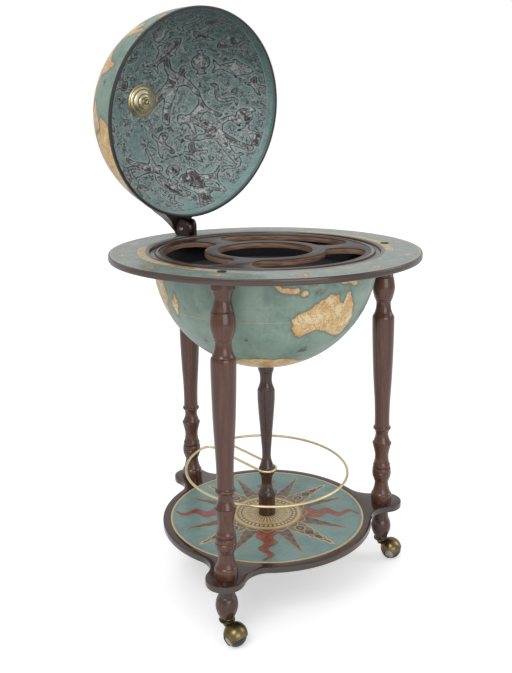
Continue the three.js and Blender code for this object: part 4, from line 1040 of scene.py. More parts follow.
# figures: pale bodies, brown shadows and folded cloth
body = sky_print.noise(sky_at, 0.05, 4.0, 0.6, 1.2)
flesh = sky_print.mix(body.rise(0.35, 0.6), tint(158, 168, 166), tint(216, 222, 220))
# the painted lilac reflection lies over the figures too
flesh = sky_print.mix(painted_lilac_reflection * 0.35, flesh, tint(186, 186, 192))
shadow = sky_print.noise(sky_at, 0.036, 3.0, 0.6, 0.8).rise(0.52, 0.58)
flesh = sky_print.mix(shadow * 0.85, flesh, tint(72, 55, 52))
folds = abs(sky_print.noise(sky_at, 0.05, 1.0, 0.5, 1.6) - 0.5).rise(0.06, 0.03)
folds_fine = abs(sky_print.noise(sky_at, 0.16, 2.0, 0.5, 1.4) - 0.5).rise(0.07, 0.03)
flesh = sky_print.layered(
    flesh,
    (folds_fine * 0.35, tint(64, 56, 58)),
    (folds * 0.75, tint(48, 42, 44)),
    (figure.rise(-4.5, -2.4) * figure.rise(-0.8, -1.6) * 0.45, tint(178, 184, 184)),
)
sky_colour = sky_print.mix(figure.rise(0.3, -0.3), ground, flesh)
ink_break = sky_print.noise(sky_at, 0.09, 2.0, 0.5).rise(0.36, 0.5) * 0.65 + 0.25
sky_colour = sky_print.mix(abs(figure).rise(1.6, 0.7) * ink_break, sky_colour, tint(36, 34, 40))
halo = abs(figure - 3.6).rise(1.5, 0.6)
sky_colour = sky_print.mix(halo * 0.5, sky_colour, tint(196, 208, 206))
# small stars
star_cell = sky_print.node(
    "ShaderNodeTexVoronoi", {"feature": "F1"}, Vector=sky_at, Scale=0.055, Randomness=0.9,
    out="Distance",
)
sky_colour = sky_print.layered(
    sky_colour,
    (star_cell.rise(0.09, 0.05) * 0.7, tint(206, 210, 198)),
    # painted shade: the print is darker toward the front of the lid, the top of the open lid, where
    # the lining faces down; a plain strip runs along its edge
    (sky_up.rise(-60, 290) * 0.55, tint(48, 66, 64)),
    (abs(sky_r - (sky_edge + 1)).rise(1.3, 0.6) * 0.5, tint(178, 190, 186)),
)
sky_print.wear(Base_Color=sky_colour, Roughness=0.4 + sky_grit * 0.14)
sky_print.bump(sky_grit * 0.4 - abs(figure).rise(1.0, 0.2), 0.08, 0.0003)
lining_mesh.transform(opened)
lining_mesh.flip_normals()
lining = as_is("lid_lining", lining_mesh, sky_print, 50)
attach(lining, "lid")
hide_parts("lid_shell")

# Rim band: a dark moulded strip round the edge of the lid, glued on; its
# inner face has the colour of the lining.
band_finish = Finish("rim_strip", Roughness=0.38, Coat_Weight=0.1)
band_noise = band_finish.noise(band_finish.place(), 90, 4.0, 0.6)
band_dark = band_finish.mix(band_noise, tint(28, 30, 31), tint(52, 52, 52))
band_colour = band_finish.mix(band_finish.attribute("inner"), band_dark, tint(104, 130, 126))
band_finish.wear(Base_Color=band_colour, Roughness=0.3 + band_noise * 0.2)
band_finish.bump(band_noise, 0.1, 0.0004)
band_profile = [
    (196.4, 0.6), (197.2, 0.1), (200.2, 0), (200.9, 0.3), (201.2, 1.0), (201.2, 5.3),
    (200.8, 6.2), (200.0, band_high), (195.9, band_high), (195.5, 6.2), (195.2, 5.3),
    (195.4, 2.0), (196.4, 0.6),
]
band_mesh = turned_mesh("rim_band", band_profile, 240)
marked(band_mesh, "inner", [
    math.hypot(v.co.x, v.co.y) < 195.5 * mm and v.co.z > 1.5 * mm for v in band_mesh.vertices
])
band_mesh.transform(opened)
band = finished("rim_band", band_mesh, band_finish, 40)
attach(band, "lid")
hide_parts("lid_rim_band")


# Rosette, knob and pole cap: turned brass with a lightly worn lacquer, drawn
# together through the lid's pole by one stud.
def aged_brass(name, bright, dull, polish):
    brass = Finish(name, Metallic=1.0, Roughness=polish)
    place = brass.place()
    tarnish = brass.noise(place, 60, 5.0, 0.6)
    scratch = brass.noise(brass.stretched(place, 1, 1, 9), 300, 3.0, 0.6)
    colour = brass.mix(tarnish.rise(0.35, 0.75), tint(*bright), tint(*dull))
    brass.wear(Base_Color=colour, Roughness=polish - 0.06 + tarnish * 0.12 + scratch * 0.08)
    brass.bump(scratch, 0.05, 0.0002)
    return brass


def repaint(finish, *nodes):
    """Gives solids that stay as they are a finish of this scene."""
    for node in nodes:
        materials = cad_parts[node].data.materials
        materials.clear()
        materials.append(finish.material)


rosette_brass = aged_brass("rosette_brass", (238, 226, 190), (196, 174, 128), 0.25)
rosette_r, rosette_high, stud_hole = 35, 17, 3.2
rosette_base = math.sqrt(lining_r ** 2 - rosette_r ** 2)
rosette_profile = [
    (stud_hole, rosette_high), (8.6, rosette_high), (9.4, 16.4), (10.0, 14.6), (10.6, 13.7),
    (14.6, 13.2), (15.6, 12.6), (16.4, 10.9), (17.0, 9.8), (23.2, 8.6), (24.6, 7.9), (25.4, 6.4),
    (26.0, 5.6), (29.4, 5.0), (30.8, 4.3), (31.5, 2.9), (32.4, 2.3), (34.2, 1.9), (34.9, 1.2),
    (rosette_r, 0.1), (stud_hole, 0.1), (stud_hole, rosette_high),
]
rosette = turned("rosette_turned", [(r, rosette_base - h) for r, h in rosette_profile], 64,
                 rosette_brass, 30, opened)
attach(rosette, "lid")
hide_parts("lid_rosette")
nut_profile = [
    (stud_hole, rosette_high), (5.2, rosette_high), (5.4, 17.8), (6.3, 18.6), (6.5, 20),
    (6.3, 21.8), (5.2, 23.2), (3.9, 24), (stud_hole, 24), (stud_hole, rosette_high),
]
nut = turned("rosette_knob", [(r, rosette_base - h) for r, h in nut_profile], 40,
             rosette_brass, 40, opened)
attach(nut, "lid")
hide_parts("rosette_nut")
cap_r = 14.0
cap_sag = globe_r - math.sqrt(globe_r ** 2 - cap_r ** 2)
cap_profile = flowing([
    (cap_r, 200.3 - cap_sag), (cap_r, 202.0), (12.6, 204.0), (10.0, 205.3), (6.0, 206.5),
    (3.0, 206.9), (0, 207.0),
], 4)
cap = turned("pole_button", [(0, 200.05), (3.0, 200.05), *cap_profile], 48, rosette_brass, 40,
             opened)
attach(cap, "lid")
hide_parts("pole_cap")
repaint(rosette_brass, "pole_stud")

# Bottle tray: an eleven millimetre board with a round hole in the middle and
# three slots round it, its edges rounded over, on a flocked well.
tray_top = ring_top - 2
tray_low = tray_top - 11
tray_r, bottle_hole = 195.4, 85
slot_in, slot_out, web_half = 108, 178.5, 20
near_corner, far_corner = 16, 34


def sweep_line(cx, cy, radius, start, stop, steps):
    """Points of an arc from one angle to another, in mm."""
    turns = [start + (stop - start) * i / steps for i in range(steps + 1)]
    return [(cx + radius * math.cos(turn), cy + radius * math.sin(turn)) for turn in turns]


def round_line(radius, steps):
    """Points of a whole circle about the axis, in mm."""
    return sweep_line(0, 0, radius, 0, 2 * math.pi, steps)[:-1]


def spun(line, degrees):
    """An outline turned about the axis."""
    c, s = math.cos(math.radians(degrees)), math.sin(math.radians(degrees))
    return [(x * c - y * s, x * s + y * c) for x, y in line]


def slot_line(degrees):
    """Outline of a slot: two arcs about the axis joined by round corners."""
    near, far = slot_in + near_corner, slot_out - far_corner
    near_off, far_off = web_half + near_corner, web_half + far_corner
    near_tilt, far_tilt = math.asin(near_off / near), math.asin(far_off / far)
    sweep = math.radians(third)
    c, s = math.cos(sweep), math.sin(sweep)
    low = sweep_line(near * math.cos(near_tilt), near_off, near_corner, math.pi + near_tilt,
                     1.5 * math.pi, 14)
    low += sweep_line(far * math.cos(far_tilt), far_off, far_corner, -math.pi / 2, far_tilt, 18)
    outer = sweep_line(0, 0, slot_out, far_tilt, sweep - far_tilt, 40)[1:-1]
    high = [(x * c + y * s, x * s - y * c) for x, y in reversed(low)]
    inner = sweep_line(0, 0, slot_in, sweep - near_tilt, near_tilt, 32)[1:-1]
    return spun(low + outer + high + inner, degrees - third / 2)


def closed_spline(curve, line):
    """Adds a closed outline in mm to a curve."""
    spline = curve.splines.new("POLY")
    spline.points.add(len(line) - 1)
    for point, (x, y) in zip(spline.points, line):
        point.co = (x * mm, y * mm, 0, 1)
    spline.use_cyclic_u = True


def board(name, outlines, low, high, edge):
    """A flat board with holes and rounded edges, from outlines in mm."""
    curve = bpy.data.curves.new(name, "CURVE")
    curve.dimensions = "2D"
    curve.fill_mode = "BOTH"
    curve.extrude = (high - low) / 2 * mm - edge * mm
    curve.bevel_depth = edge * mm
    curve.bevel_resolution = 2
    curve.offset = -edge * mm
    for outline in outlines:
        closed_spline(curve, outline)
    holder = bpy.data.objects.new(name, curve)
    bpy.context.collection.objects.link(holder)
    mesh = evaluated(holder)
    bpy.data.objects.remove(holder)
    mesh.transform(Matrix.Translation((0, axis_y, (low + high) / 2 * mm)))
    return mesh


tray_wood = Finish("tray_walnut", Roughness=0.4, Specular_IOR_Level=0.2, Coat_Weight=0.08,
                   Coat_Roughness=0.12)
tray_place = tray_wood.place()
_, _, tray_z = tray_wood.split(tray_place)
tray_grain = tray_wood.noise(tray_wood.stretched(tray_place, 0.12, 1, 1), 240, 5.0, 0.6, 0.5)
tray_cloud = tray_wood.noise(tray_wood.stretched(tray_place, 0.3, 1, 1), 22, 3.0, 0.5)
top_wood = tray_wood.mix(tray_grain.rise(0.3, 0.7), tint(46, 29, 24), tint(70, 49, 41))
top_wood = tray_wood.mix(tray_cloud.rise(0.3, 0.7) * 0.4, top_wood, tint(58, 39, 33))
# painted light: everything below the top face, the walls of the hole and slots and the outer edge,
# is coloured much lighter than the dark top, as where the lamps fall on them
wall_grain = tray_wood.noise(tray_wood.stretched(tray_place, 5, 5, 60), 6, 3.0, 0.5)
wall_wood_painted_light = tray_wood.mix(wall_grain.rise(0.3, 0.7), tint(112, 84, 68), tint(160, 130, 108))
lit_wall_mask = tray_z.rise((tray_top - 1.2) * mm, (tray_top - 2.4) * mm)
tray_wood.wear(
    Base_Color=tray_wood.mix(lit_wall_mask, top_wood, wall_wood_painted_light), Roughness=0.24 + tray_grain * 0.12,
)
tray_wood.bump(tray_grain, 0.03, 0.0003)
tray_lines = [round_line(tray_r, 180), round_line(bottle_hole, 96)]
tray_lines += [slot_line(degrees) for degrees in (30, 150, 270)]
tray_mesh = board("bottle_tray", tray_lines, tray_low, tray_top, 1.4)
tray = finished("bottle_tray", tray_mesh, tray_wood, 40)
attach(tray, "stand")
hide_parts("tray_plate")
bead_profile = [
    (188.5, tray_top), (194, tray_top), (194, tray_top + 0.5), (193.2, tray_top + 1.1),
    (191.3, tray_top + 1.4), (189.3, tray_top + 1.1), (188.5, tray_top + 0.5), (188.5, tray_top),
]
bead_wood = walnut("bead_walnut", (64, 44, 36), (104, 78, 64), "X", 0.22)
bead = turned("tray_edge_bead", bead_profile, 200, bead_wood, 50)
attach(bead, "stand")
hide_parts("tray_bead")

# Well under the tray: a hoop and floor covered with blue-black flock.
flock = Finish("well_flock", Roughness=0.95, Sheen_Weight=0.08, Sheen_Roughness=0.5)
flock_place = flock.place()
flock_fuzz = flock.noise(flock_place, 900, 3.0, 0.7)
flock_cloud = flock.noise(flock_place, 18, 3.0, 0.5)
flock_colour = flock.mix(flock_cloud, tint(9, 10, 15), tint(22, 22, 30))
flock_colour = flock.mix(flock_fuzz.rise(0.45, 0.75) * 0.4, flock_colour, tint(38, 38, 48))
flock.wear(Base_Color=flock_colour, Roughness=0.85 + flock_fuzz * 0.15)
flock.bump(flock_fuzz, 0.35, 0.0005)
floor_top = ring_top - 46
hoop_in, hoop_out = 184, 190.5
hoop_profile = [
    (hoop_in, floor_top), (hoop_in, tray_low), (tray_r, tray_low), (195.1, tray_low - 4),
    (hoop_out, tray_low - 8), (hoop_out, floor_top), (hoop_in, floor_top),
]
well = turned("well_lining", hoop_profile, 160, flock, 40)
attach(well, "stand")
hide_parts("well_hoop")
floor_profile = [
    (0, floor_top - 6), (hoop_out, floor_top - 6), (hoop_out, floor_top), (120, floor_top),
    (60, floor_top), (0, floor_top),
]
well_base = turned("well_base", floor_profile, 160, flock, 40)
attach(well_base, "stand")
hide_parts("well_floor")

# Hinge: a walnut fan behind the lid whose tongue turns on a pin between the
# cheeks of a dark clevis on the ring; brass screws hold the fan to the lid.
def speckled(name, noise, dark, light, gloss, uneven, **fixed):
    """A finish whose colour and gloss vary with one noise."""
    finish = Finish(name, **fixed)
    speck = finish.noise(finish.place(), *noise)
    colour = finish.mix(speck, tint(*dark), tint(*light))
    finish.wear(Base_Color=colour, Roughness=gloss + speck * uneven)
    return finish


hinge_wood = walnut("hinge_walnut", (40, 25, 21), (78, 50, 40), "Z", 0.36)
clevis_iron = speckled("clevis_iron", (110, 4.0, 0.6), (30, 24, 22), (58, 46, 40), 0.3, 0.2,
                       Roughness=0.4, Metallic=0.35)
screw_brass = aged_brass("screw_brass", (196, 172, 118), (120, 98, 60), 0.28)
repaint(hinge_wood, "hinge_arm")
repaint(clevis_iron, "hinge_clevis")
repaint(screw_brass, "hinge_pin", "hinge_pin_nut", "arm_screw_low", "arm_screw_high")

# Ring bolts: domed dark bronze heads over the two front legs; the back one is
# flush under the clevis and keeps its plain shape.
bolt_bronze = aged_brass("bolt_bronze", (92, 78, 48), (52, 44, 30), 0.3)
bolt_profile = [
    (0, ring_top + 0.02), (7.8, ring_top + 0.02), (7.8, ring_top + 0.5), (7.3, ring_top + 0.95),
    (5.6, ring_top + 1.35), (3.0, ring_top + 1.55), (1.4, ring_top + 1.5),
    (1.2, ring_top + 0.9), (0, ring_top + 0.85),
]
bolts = stood_round("ring_bolts", bolt_profile, 40, bolt_bronze, 40, leg_angles[:2])
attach(bolts, "stand")
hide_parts("leg_bolt_front_left", "leg_bolt_front_right")
repaint(bolt_bronze, "leg_bolt_back")

# Shelf: a walnut board with three lobes, each clamped between a leg and its
# foot, and a sunk printed panel with a gold line round it.
shelf_r = 193.0
lobe_centre, lobe_r, waist_r = 231.0, 32.5, 42.0
waist_centre = shelf_r + waist_r
waist_angle = math.acos(
    (waist_centre ** 2 + lobe_centre ** 2 - (lobe_r + waist_r) ** 2)
    / (2 * waist_centre * lobe_centre)
)
waist_x, waist_y = waist_centre * math.cos(waist_angle), waist_centre * math.sin(waist_angle)
lobe_turn = math.atan2(waist_y, waist_x - lobe_centre)
lobe = sweep_line(waist_x, -waist_y, waist_r, math.pi - waist_angle, math.pi - lobe_turn, 16)
lobe += sweep_line(lobe_centre, 0, lobe_r, -lobe_turn, lobe_turn, 36)[1:]
lobe += sweep_line(waist_x, waist_y, waist_r, lobe_turn - math.pi, waist_angle - math.pi, 16)[1:]
lobe += sweep_line(0, 0, shelf_r, waist_angle, math.radians(third) - waist_angle, 40)[1:-1]
shelf_line = [point for degrees in sorted(leg_angles) for point in spun(lobe, degrees)]
shelf_wood = walnut("shelf_walnut", (46, 25, 19), (68, 42, 33), "X", 0.16)
shelf_z = shelf_wood.split(shelf_wood.place())[2]
shelf_side = shelf_z.rise((shelf_top - 0.7) * mm, (shelf_top - 1.5) * mm)
shelf_top_colour = Value(
    shelf_wood, shelf_wood.shader.inputs["Base Color"].links[0].from_socket,
)
shelf_wood.wear(Base_Color=shelf_wood.mix(shelf_side * 0.7, shelf_top_colour, tint(74, 70, 60)))
shelf_lines = [shelf_line, round_line(179.15, 160)]
shelf_mesh = board("shelf_outline", shelf_lines, shelf_low, shelf_top, 1.0)
shelf = finished("shelf_board_round", shelf_mesh, shelf_wood, 40)
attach(shelf, "stand")
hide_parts("shelf_board")
base_profile = [
    (0, shelf_low + 0.1), (179.1, shelf_low + 0.1), (179.1, shelf_top - 2.6), (0, shelf_top - 2.6),
]
shelf_base = turned("shelf_base_board", base_profile, 160, shelf_wood, 40)
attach(shelf_base, "stand")
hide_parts("shelf_board")

gold_paint = speckled("gold_line_paint", (160, 4.0, 0.6), (206, 176, 124), (232, 208, 158), 0.26,
                      0.14, Roughness=0.32, Metallic=0.25, Coat_Weight=0.3)
inlay_low, inlay_top = shelf_top - 2.5, shelf_top - 0.02
gold_profile = [
    (175.55, inlay_low), (179.0, inlay_low), (179.0, inlay_top), (175.55, inlay_top),
    (175.55, inlay_low),
]
gold_ring = turned("gold_inlay_ring", gold_profile, 200, gold_paint, 40)
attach(gold_ring, "stand")
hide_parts("shelf_gold_line")

rose = Finish("wind_rose_print", Roughness=0.3, Coat_Weight=0.35, Coat_Roughness=0.12)
rose_place = rose.place()
rose_r, rose_angle = rose.polar(axis_y)
front = math.radians(227.1)
rose_cloud = rose.noise(rose_place, 14, 5.0, 0.6, 0.3)
rose_paper = rose.noise(rose.stretched(rose_place, 1, 4, 1), 60, 5.0, 0.65)
rose_fine = rose.noise(rose_place, 420, 3.0, 0.6)
rose_sea = rose.mix(rose_cloud.rise(0.3, 0.7), tint(102, 138, 136), tint(134, 164, 160))
rose_sea = rose.mix(rose_paper.rise(0.4, 0.75) * 0.4, rose_sea, tint(150, 172, 160))
cream, gold_ink, umber = tint(222, 202, 160), tint(200, 168, 112), tint(70, 56, 48)
picture = rose_sea


def ray_place(count, start):
    """Along and across one of the rays, in mm."""
    turn = wrapped(rose_angle, 2 * math.pi / count, start)
    return rose_r * turn.cosine(), rose_r * turn.sine()


# eight slim rays between the main ones, one half light and one half dark
along, across = ray_place(8, front + math.pi / 8)
slim = (170.0 - along) * 0.15
slim_mask = (slim - abs(across)).rise(-0.25, 0.35) * along.rise(60, 62)
slim_fill = rose.mix(across.rise(-0.3, 0.3), tint(112, 94, 78), tint(78, 66, 60))
chequer = ((along / 10.0).floor() + across.rise(-0.2, 0.2)) % 2.0
slim_fill = rose.layered(
    slim_fill,
    (chequer * 0.4, tint(156, 134, 100)),
    (rose_paper.rise(0.35, 0.65) * 0.3, tint(96, 84, 74)),
)
picture = rose.mix(slim_mask, picture, slim_fill)
slim_edge = abs(slim - abs(across) - 1.1).rise(0.8, 0.3) * along.rise(60, 62) * along.rise(168, 166)
picture = rose.mix(slim_edge * 0.85, picture, tint(206, 178, 128))
# four gold rays with a chain of dark diamonds
along, across = ray_place(4, front + math.pi / 4)
wide = (174.0 - along) * 0.19 + ((along * 0.33).sine()) * 1.3
wide_mask = (wide - abs(across)).rise(-0.25, 0.35) * along.rise(58, 60) * along.rise(173, 171)
links = abs((along - 76.0) % 21.0 - 10.5) / 10.5
diamond = (wide * 0.78 * (1.1 - links) - abs(across)).rise(-0.2, 0.6) * along.rise(96, 98)
eye = ((along - 84.0) * (along - 84.0) + across * across * 1.3).root()
diamond = diamond.most(eye.rise(9.2, 8.6))
wide_fill = rose.mix(rose_paper.rise(0.3, 0.7) * 0.5, tint(138, 120, 94), tint(112, 98, 80))
wide_fill = rose.layered(
    wide_fill,
    (abs(wide * 0.78 * (1.1 - links) - abs(across)).rise(1.4, 0.8) * along.rise(96, 98),
     tint(214, 188, 140)),
    (diamond * 0.92, tint(76, 66, 60)),
    (abs(eye - 9.6).rise(1.2, 0.7), tint(214, 188, 140)),
    (eye.rise(4.2, 3.6) * 0.8, tint(150, 140, 118)),
)
picture = rose.mix(wide_mask, picture, wide_fill)
wide_edge = abs(wide - abs(across) - 0.9).rise(1.3, 0.7) * along.rise(58, 60) * along.rise(173, 171)
picture = rose.mix(wide_edge * 0.9, picture, tint(214, 188, 140))
# four rust flames toward the cardinal points
along, across = ray_place(4, front)
swing = ((along - 60.0) * 0.15).sine() * ((along - 58.0) * 0.14).least(7.0)
flame_w = ((172.0 - along) * 0.15).most(0.0) + 2.8 + along.rise(96, 60) * 5.5
flame_gap = flame_w - abs(across - swing)
flame_mask = flame_gap.rise(-0.3, 0.4) * along.rise(58, 60) * along.rise(173, 170)
flame_fill = rose.mix(rose_paper.rise(0.3, 0.7), tint(136, 68, 52), tint(172, 102, 80))
flame_fill = rose.mix(abs(across - swing - flame_w * 0.25).rise(1.6, 0.4) * 0.5, flame_fill,
                      tint(98, 52, 44))
picture = rose.layered(
    picture,
    (flame_mask, flame_fill),
    (abs(flame_gap - 0.3).rise(0.9, 0.3) * along.rise(58, 60) * along.rise(172, 168) * 0.8,
     tint(92, 58, 48)),
)
# scalloped collar round the middle disc
scallop = abs(((rose_angle - front) * 8.0).cosine()) * 9.0 + 66.0
scallop_mask = (scallop - rose_r).rise(-0.3, 0.4)
scallop_fill = rose.mix(rose_r.rise(62, 68), gold_ink, tint(122, 102, 78))
picture = rose.layered(
    picture,
    (scallop_mask, scallop_fill),
    (abs(scallop - rose_r).rise(1.0, 0.4) * 0.85, cream),
    # middle disc: gold ring, ring of studs, rings and spokes
    (rose_r.rise(61.6, 61.0), tint(222, 194, 138)),
)
stud_turn = abs(wrapped(rose_angle, math.radians(9), 0.0)) * rose_r
studs = rose_r.within(46.6, 55.4, 0.25)
picture = rose.mix(studs * 0.9, picture, tint(54, 44, 38))
stud_row = abs(rose_r - 51.0)
picture = rose.mix(studs * stud_turn.rise(2.9, 2.4) * stud_row.rise(2.9, 2.4), picture, cream)
for ring_at in (56.8, 45.2, 42.6, 13.6):
    picture = rose.mix(abs(rose_r - ring_at).rise(0.6, 0.2) * 0.85, picture, umber)
picture = rose.mix(rose_r.rise(42.2, 41.6), picture, tint(228, 204, 152))
spoke = abs(wrapped(rose_angle, math.radians(11.25), front)) * rose_r
spoke_fine = abs(wrapped(rose_angle, math.radians(11.25), front + math.radians(5.6))) * rose_r
picture = rose.layered(
    picture,
    (spoke.rise(1.3, 0.7) * rose_r.within(15.5, 40.5, 0.3) * 0.9, umber),
    (spoke_fine.rise(0.9, 0.4) * rose_r.within(31, 40.5, 0.3) * 0.6, umber),
)
wedge = wrapped(rose_angle, math.radians(22.5), front)
picture = rose.layered(
    picture,
    (wedge.rise(-0.01, 0.01) * rose_r.within(15.5, 41, 0.3) * 0.3, gold_ink),
    (abs(rose_r - 172.8).rise(0.8, 0.3) * 0.45, tint(98, 112, 100)),
    (rose_fine.rise(0.5, 0.8) * 0.18, tint(70, 66, 58)),
)
rose.wear(Base_Color=picture, Roughness=0.25 + rose_fine * 0.12)
rose.bump(rose_fine, 0.05, 0.0003)
panel_profile = [
    (3.2, inlay_low), (175.4, inlay_low), (175.4, shelf_top), (120, shelf_top), (60, shelf_top),
    (16, shelf_top), (3.2, shelf_top), (3.2, inlay_low),
]
panel = turned("shelf_print_panel", panel_profile, 160, rose, 40)
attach(panel, "stand")
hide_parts("shelf_panel")

# Bottle rail: one brass wire bent round the shelf, in through a slot and
# about the centre post, which holds it; its ends meet and are brazed.
wire_r = 2.25
rail_r, rail_bend, rail_rise, rail_lean = 149.0, 15.0, 88, 0.033
neck_r = 14.8
slot_half = (neck_r + wire_r + 0.05) / math.cos(math.pi / 20)
bend_x = slot_half + rail_bend
bend_y = math.sqrt((rail_r - rail_bend) ** 2 - bend_x ** 2)
bend_turn = math.atan2(bend_y, bend_x)
rail_half = sweep_line(0, 0, slot_half, -math.pi / 2, 0, 14)
rail_half += [(slot_half, bend_y * k / 8) for k in range(1, 8)]
rail_half += sweep_line(bend_x, bend_y, rail_bend, math.pi, bend_turn, 16)
rail_half += sweep_line(0, 0, rail_r, bend_turn, -math.pi / 2, 90)[1:]
rail_line = rail_half + [(-x, y) for x, y in reversed(rail_half[1:-1])]
rail_curve = bpy.data.curves.new("rail_path", "CURVE")
rail_curve.dimensions = "3D"
closed_spline(rail_curve, rail_line)
rail_path = bpy.data.objects.new("rail_path", rail_curve)
bpy.context.collection.objects.link(rail_path)
rail_brass = speckled("rail_brass", (9, 2.0, 0.4), (238, 218, 166), (248, 234, 192), 0.32, 0.06,
                      Metallic=1.0, Roughness=0.24)


def wire_along(node, link, given):
    """Sweeps a circle along the path."""
    path, section = node("GeometryNodeObjectInfo"), node("GeometryNodeCurvePrimitiveCircle")
    sweep = node("GeometryNodeCurveToMesh")
    link(given["Path"], path.inputs["Object"])
    link(given["Wire radius"], section.inputs["Radius"])
    link(given["Sides"], section.inputs["Resolution"])
    link(path.outputs["Geometry"], sweep.inputs["Curve"])
    link(section.outputs["Curve"], sweep.inputs["Profile Curve"])
    return sweep.outputs[0]


rail = grown("bottle_rail", rail_brass, {
    "Path": ("Object", rail_path), "Wire radius": ("Float", wire_r * mm), "Sides": ("Int", 16),
}, wire_along)
bpy.data.objects.remove(rail_path)
rail.data.transform(
    Matrix.Translation((0, axis_y, (shelf_top + rail_rise) * mm))
    @ Matrix.Rotation(math.atan(rail_lean), 4, "X")
)
rail.data.shade_smooth()
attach(rail, "stand")
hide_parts("wire_rail")

# Casters: a pressed brass hood with a cup under the foot, open on its low
# trailing side, over a dark wheel with a steel cap. Its stem turns in a
# flanged socket in the foot. They stand as they were last rolled.
trail, wheel_high = 20.8, 18.6
wheel_middle = Vector((trail, 0, wheel_high)) * mm
hub_tilt, mouth_tilt = math.radians(20), math.radians(47)
hub_way = Vector((0, -math.cos(hub_tilt), -math.sin(hub_tilt)))
mouth_way = Vector((math.cos(mouth_tilt), 0, -math.sin(mouth_tilt)))


def round_side(radius, low, high, steps):
    """Points of a ball's outline between two heights, in mm."""
    start, stop = math.asin(low / radius), math.asin(high / radius)
    turns = [start + (stop - start) * i / steps for i in range(steps + 1)]
    return [(radius * math.cos(turn), radius * math.sin(turn)) for turn in turns]


def outward(mesh):
    """Turns a mesh's faces outward."""
    shape = bmesh.new()
    shape.from_mesh(mesh)
    bmesh.ops.recalc_face_normals(shape, faces=shape.faces)
    shape.to_mesh(mesh)
    shape.free()
    return mesh


def about_wheel(name, profile, way, steps):
    """A turned mesh whose axis runs through the wheel's middle."""
    mesh = turned_mesh(name, profile, steps)
    mesh.transform(
        Matrix.Translation(wheel_middle) @ way.to_track_quat("Z", "Y").to_matrix().to_4x4()
    )
    return outward(mesh)


def cut_away(mesh, *tools):
    """The mesh without the space that the tools fill."""
    holder, *helpers = [bpy.data.objects.new(item.name, item) for item in (mesh, *tools)]
    bpy.context.collection.objects.link(holder)
    for helper in helpers:
        bpy.context.collection.objects.link(helper)
        modifier = holder.modifiers.new(helper.name, "BOOLEAN")
        modifier.operation, modifier.solver, modifier.object = "DIFFERENCE", "EXACT", helper
    result = evaluated(holder)
    for item in (holder, *helpers):
        bpy.data.objects.remove(item)
    return result


hood_out, hood_in = 19.9, 18.75
hood_profile = round_side(hood_out, -hood_out, 10.2, 26)
hood_profile += [(16.95, 10.42), (16.7, 10.5), (15.9, 10.5)]
hood_profile += round_side(hood_in, 10.3, -hood_in, 22)
hood_profile[0] = (0, -hood_out)
hood_profile[-1] = (0, -hood_in)
cup_profile = [
    (4.05, 25.2), (5.6, 25.2), (6.5, 27.2), (7.0, 29.6), (7.9, 31.3), (9.8, 32.5), (11.9, 33.5),
    (13.0, 34.6), (13.4, 35.7), (13.3, 36.2), (12.9, 36.38), (12.3, 36.2), (11.4, 35.2),
    (9.2, 33.8), (7.0, 32.6), (4.05, 32.3), (4.05, 25.2),
]
hood_shell = cut_away(
    about_wheel("hood_shell", hood_profile, mouth_way, 64),
    about_wheel("hub_opening", [(0, 12.5), (9.4, 12.5), (9.4, 24), (0, 24)], hub_way, 48),
    outward(turned_mesh("floor_side", [(0, -30), (60, -30), (60, 1.6), (0, 1.6)], 24)),
)
inner_ball = round_side(hood_in - 0.05, -hood_in + 0.05, hood_in - 0.05, 28)
inner_ball[0], inner_ball[-1] = (0, -hood_in + 0.05), (0, hood_in - 0.05)
hood_cup = cut_away(
    outward(turned_mesh("hood_cup", cup_profile, 48)),
    about_wheel("hood_inside", inner_ball, mouth_way, 48),
)
hood_shape = bmesh.new()
hood_shape.from_mesh(hood_shell)
hood_shape.from_mesh(hood_cup)
hood_mesh = bpy.data.meshes.new("hood")
hood_shape.to_mesh(hood_mesh)
hood_shape.free()
tread_profile = [(2.75, -11.9), (13.7, -11.9)] + round_side(18.55, -11.6, 14.8, 22)
tread_profile += [(10.5, 15.1), (10.1, 15.25), (2.75, 15.25), (2.75, -11.9)]
hub_profile = [(0, 15.35), (8.4, 15.35), (8.35, 16.1), (7.9, 16.6), (6.8, 16.85), (6.3, 16.6),
               (5.7, 16.85), (3.6, 17.3), (1.8, 17.45), (0, 17.48)]
socket_profile = [
    (4.1, 37.6), (9.1, 37.6), (9.4, 37.75), (9.5, 38.1), (9.5, 38.6), (9.3, 38.9), (8.9, 39.0),
    (5.35, 39.0), (5.35, 65.9), (4.1, 65.9), (4.1, 37.6),
]
hood_brass = Finish("hood_brass", Metallic=1.0, Roughness=0.28)
hood_cloud = hood_brass.noise(hood_brass.place(), 45, 3.0, 0.5)
hood_rub = hood_brass.noise(hood_brass.place(), 260, 3.0, 0.5)
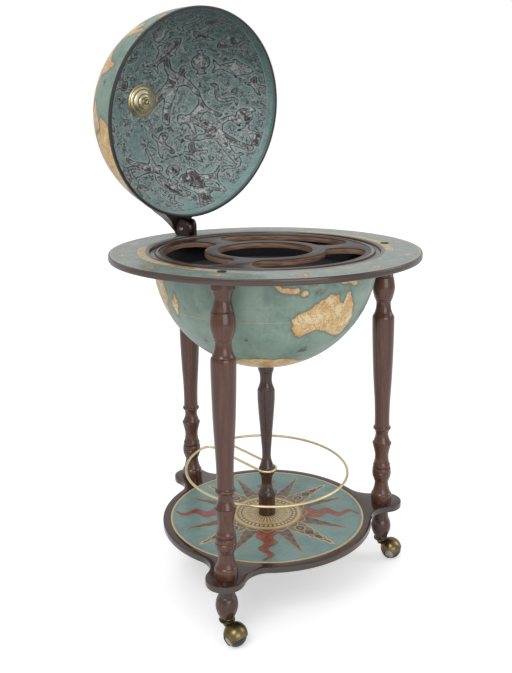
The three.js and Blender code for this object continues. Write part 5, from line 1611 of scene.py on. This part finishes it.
hood_brass.wear(
    Base_Color=hood_brass.mix(hood_cloud.rise(0.3, 0.7), tint(152, 136, 98), tint(112, 98, 66)),
    Roughness=0.26 + hood_rub * 0.1,
)
hub_steel = speckled("hub_steel", (180, 4.0, 0.6), (170, 170, 168), (206, 206, 204), 0.22, 0.16,
                     Metallic=1.0, Roughness=0.3)
socket_brass = aged_brass("socket_brass", (198, 184, 146), (150, 134, 94), 0.22)
tyre_rubber = Finish("wheel_rubber", Roughness=0.4, Coat_Weight=0.25, Coat_Roughness=0.2)
tyre_noise = tyre_rubber.noise(tyre_rubber.place(), 240, 4.0, 0.6)
tyre_rubber.wear(
    Base_Color=tyre_rubber.mix(tyre_noise, tint(30, 31, 33), tint(56, 57, 58)),
    Roughness=0.38 + tyre_noise * 0.15,
)
tyre_rubber.bump(tyre_noise, 0.1, 0.0003)
tread_mesh = about_wheel("tread", tread_profile, hub_way, 72)
cap_mesh = about_wheel("cap", hub_profile, hub_way, 48)
socket_mesh = outward(turned_mesh("socket", socket_profile, 48))
for name, angle, heading in zip(leg_names, leg_angles, (270, 295, 285)):
    stand_at = Matrix.Translation((
        leg_circle * math.cos(math.radians(angle)) * mm,
        leg_circle * math.sin(math.radians(angle)) * mm + axis_y, 0,
    )) @ Matrix.Rotation(math.radians(heading), 4, "Z")
    for part, source, finish, body, slot in (
        ("hood", hood_mesh, hood_brass, "swivel_", "antique_brass"),
        ("wheel", tread_mesh, tyre_rubber, "wheel_", "tyre"),
        ("hub", cap_mesh, hub_steel, "wheel_", "steel"),
        ("socket", socket_mesh, socket_brass, "stand", "steel"),
    ):
        turned_copy = source.copy()
        turned_copy.transform(stand_at)
        piece = finished(f"round_{part}_{name}", turned_copy, finish, 35)
        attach(piece, body if body == "stand" else body + name)
        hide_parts(f"caster_{part}_{name}")
    repaint(hub_steel, "caster_stem_" + name, "caster_axle_" + name, "foot_rod_" + name)
for source in (hood_mesh, tread_mesh, cap_mesh, socket_mesh):
    bpy.data.meshes.remove(source)
repaint(hub_steel, "post_screw_low", "post_screw_high")
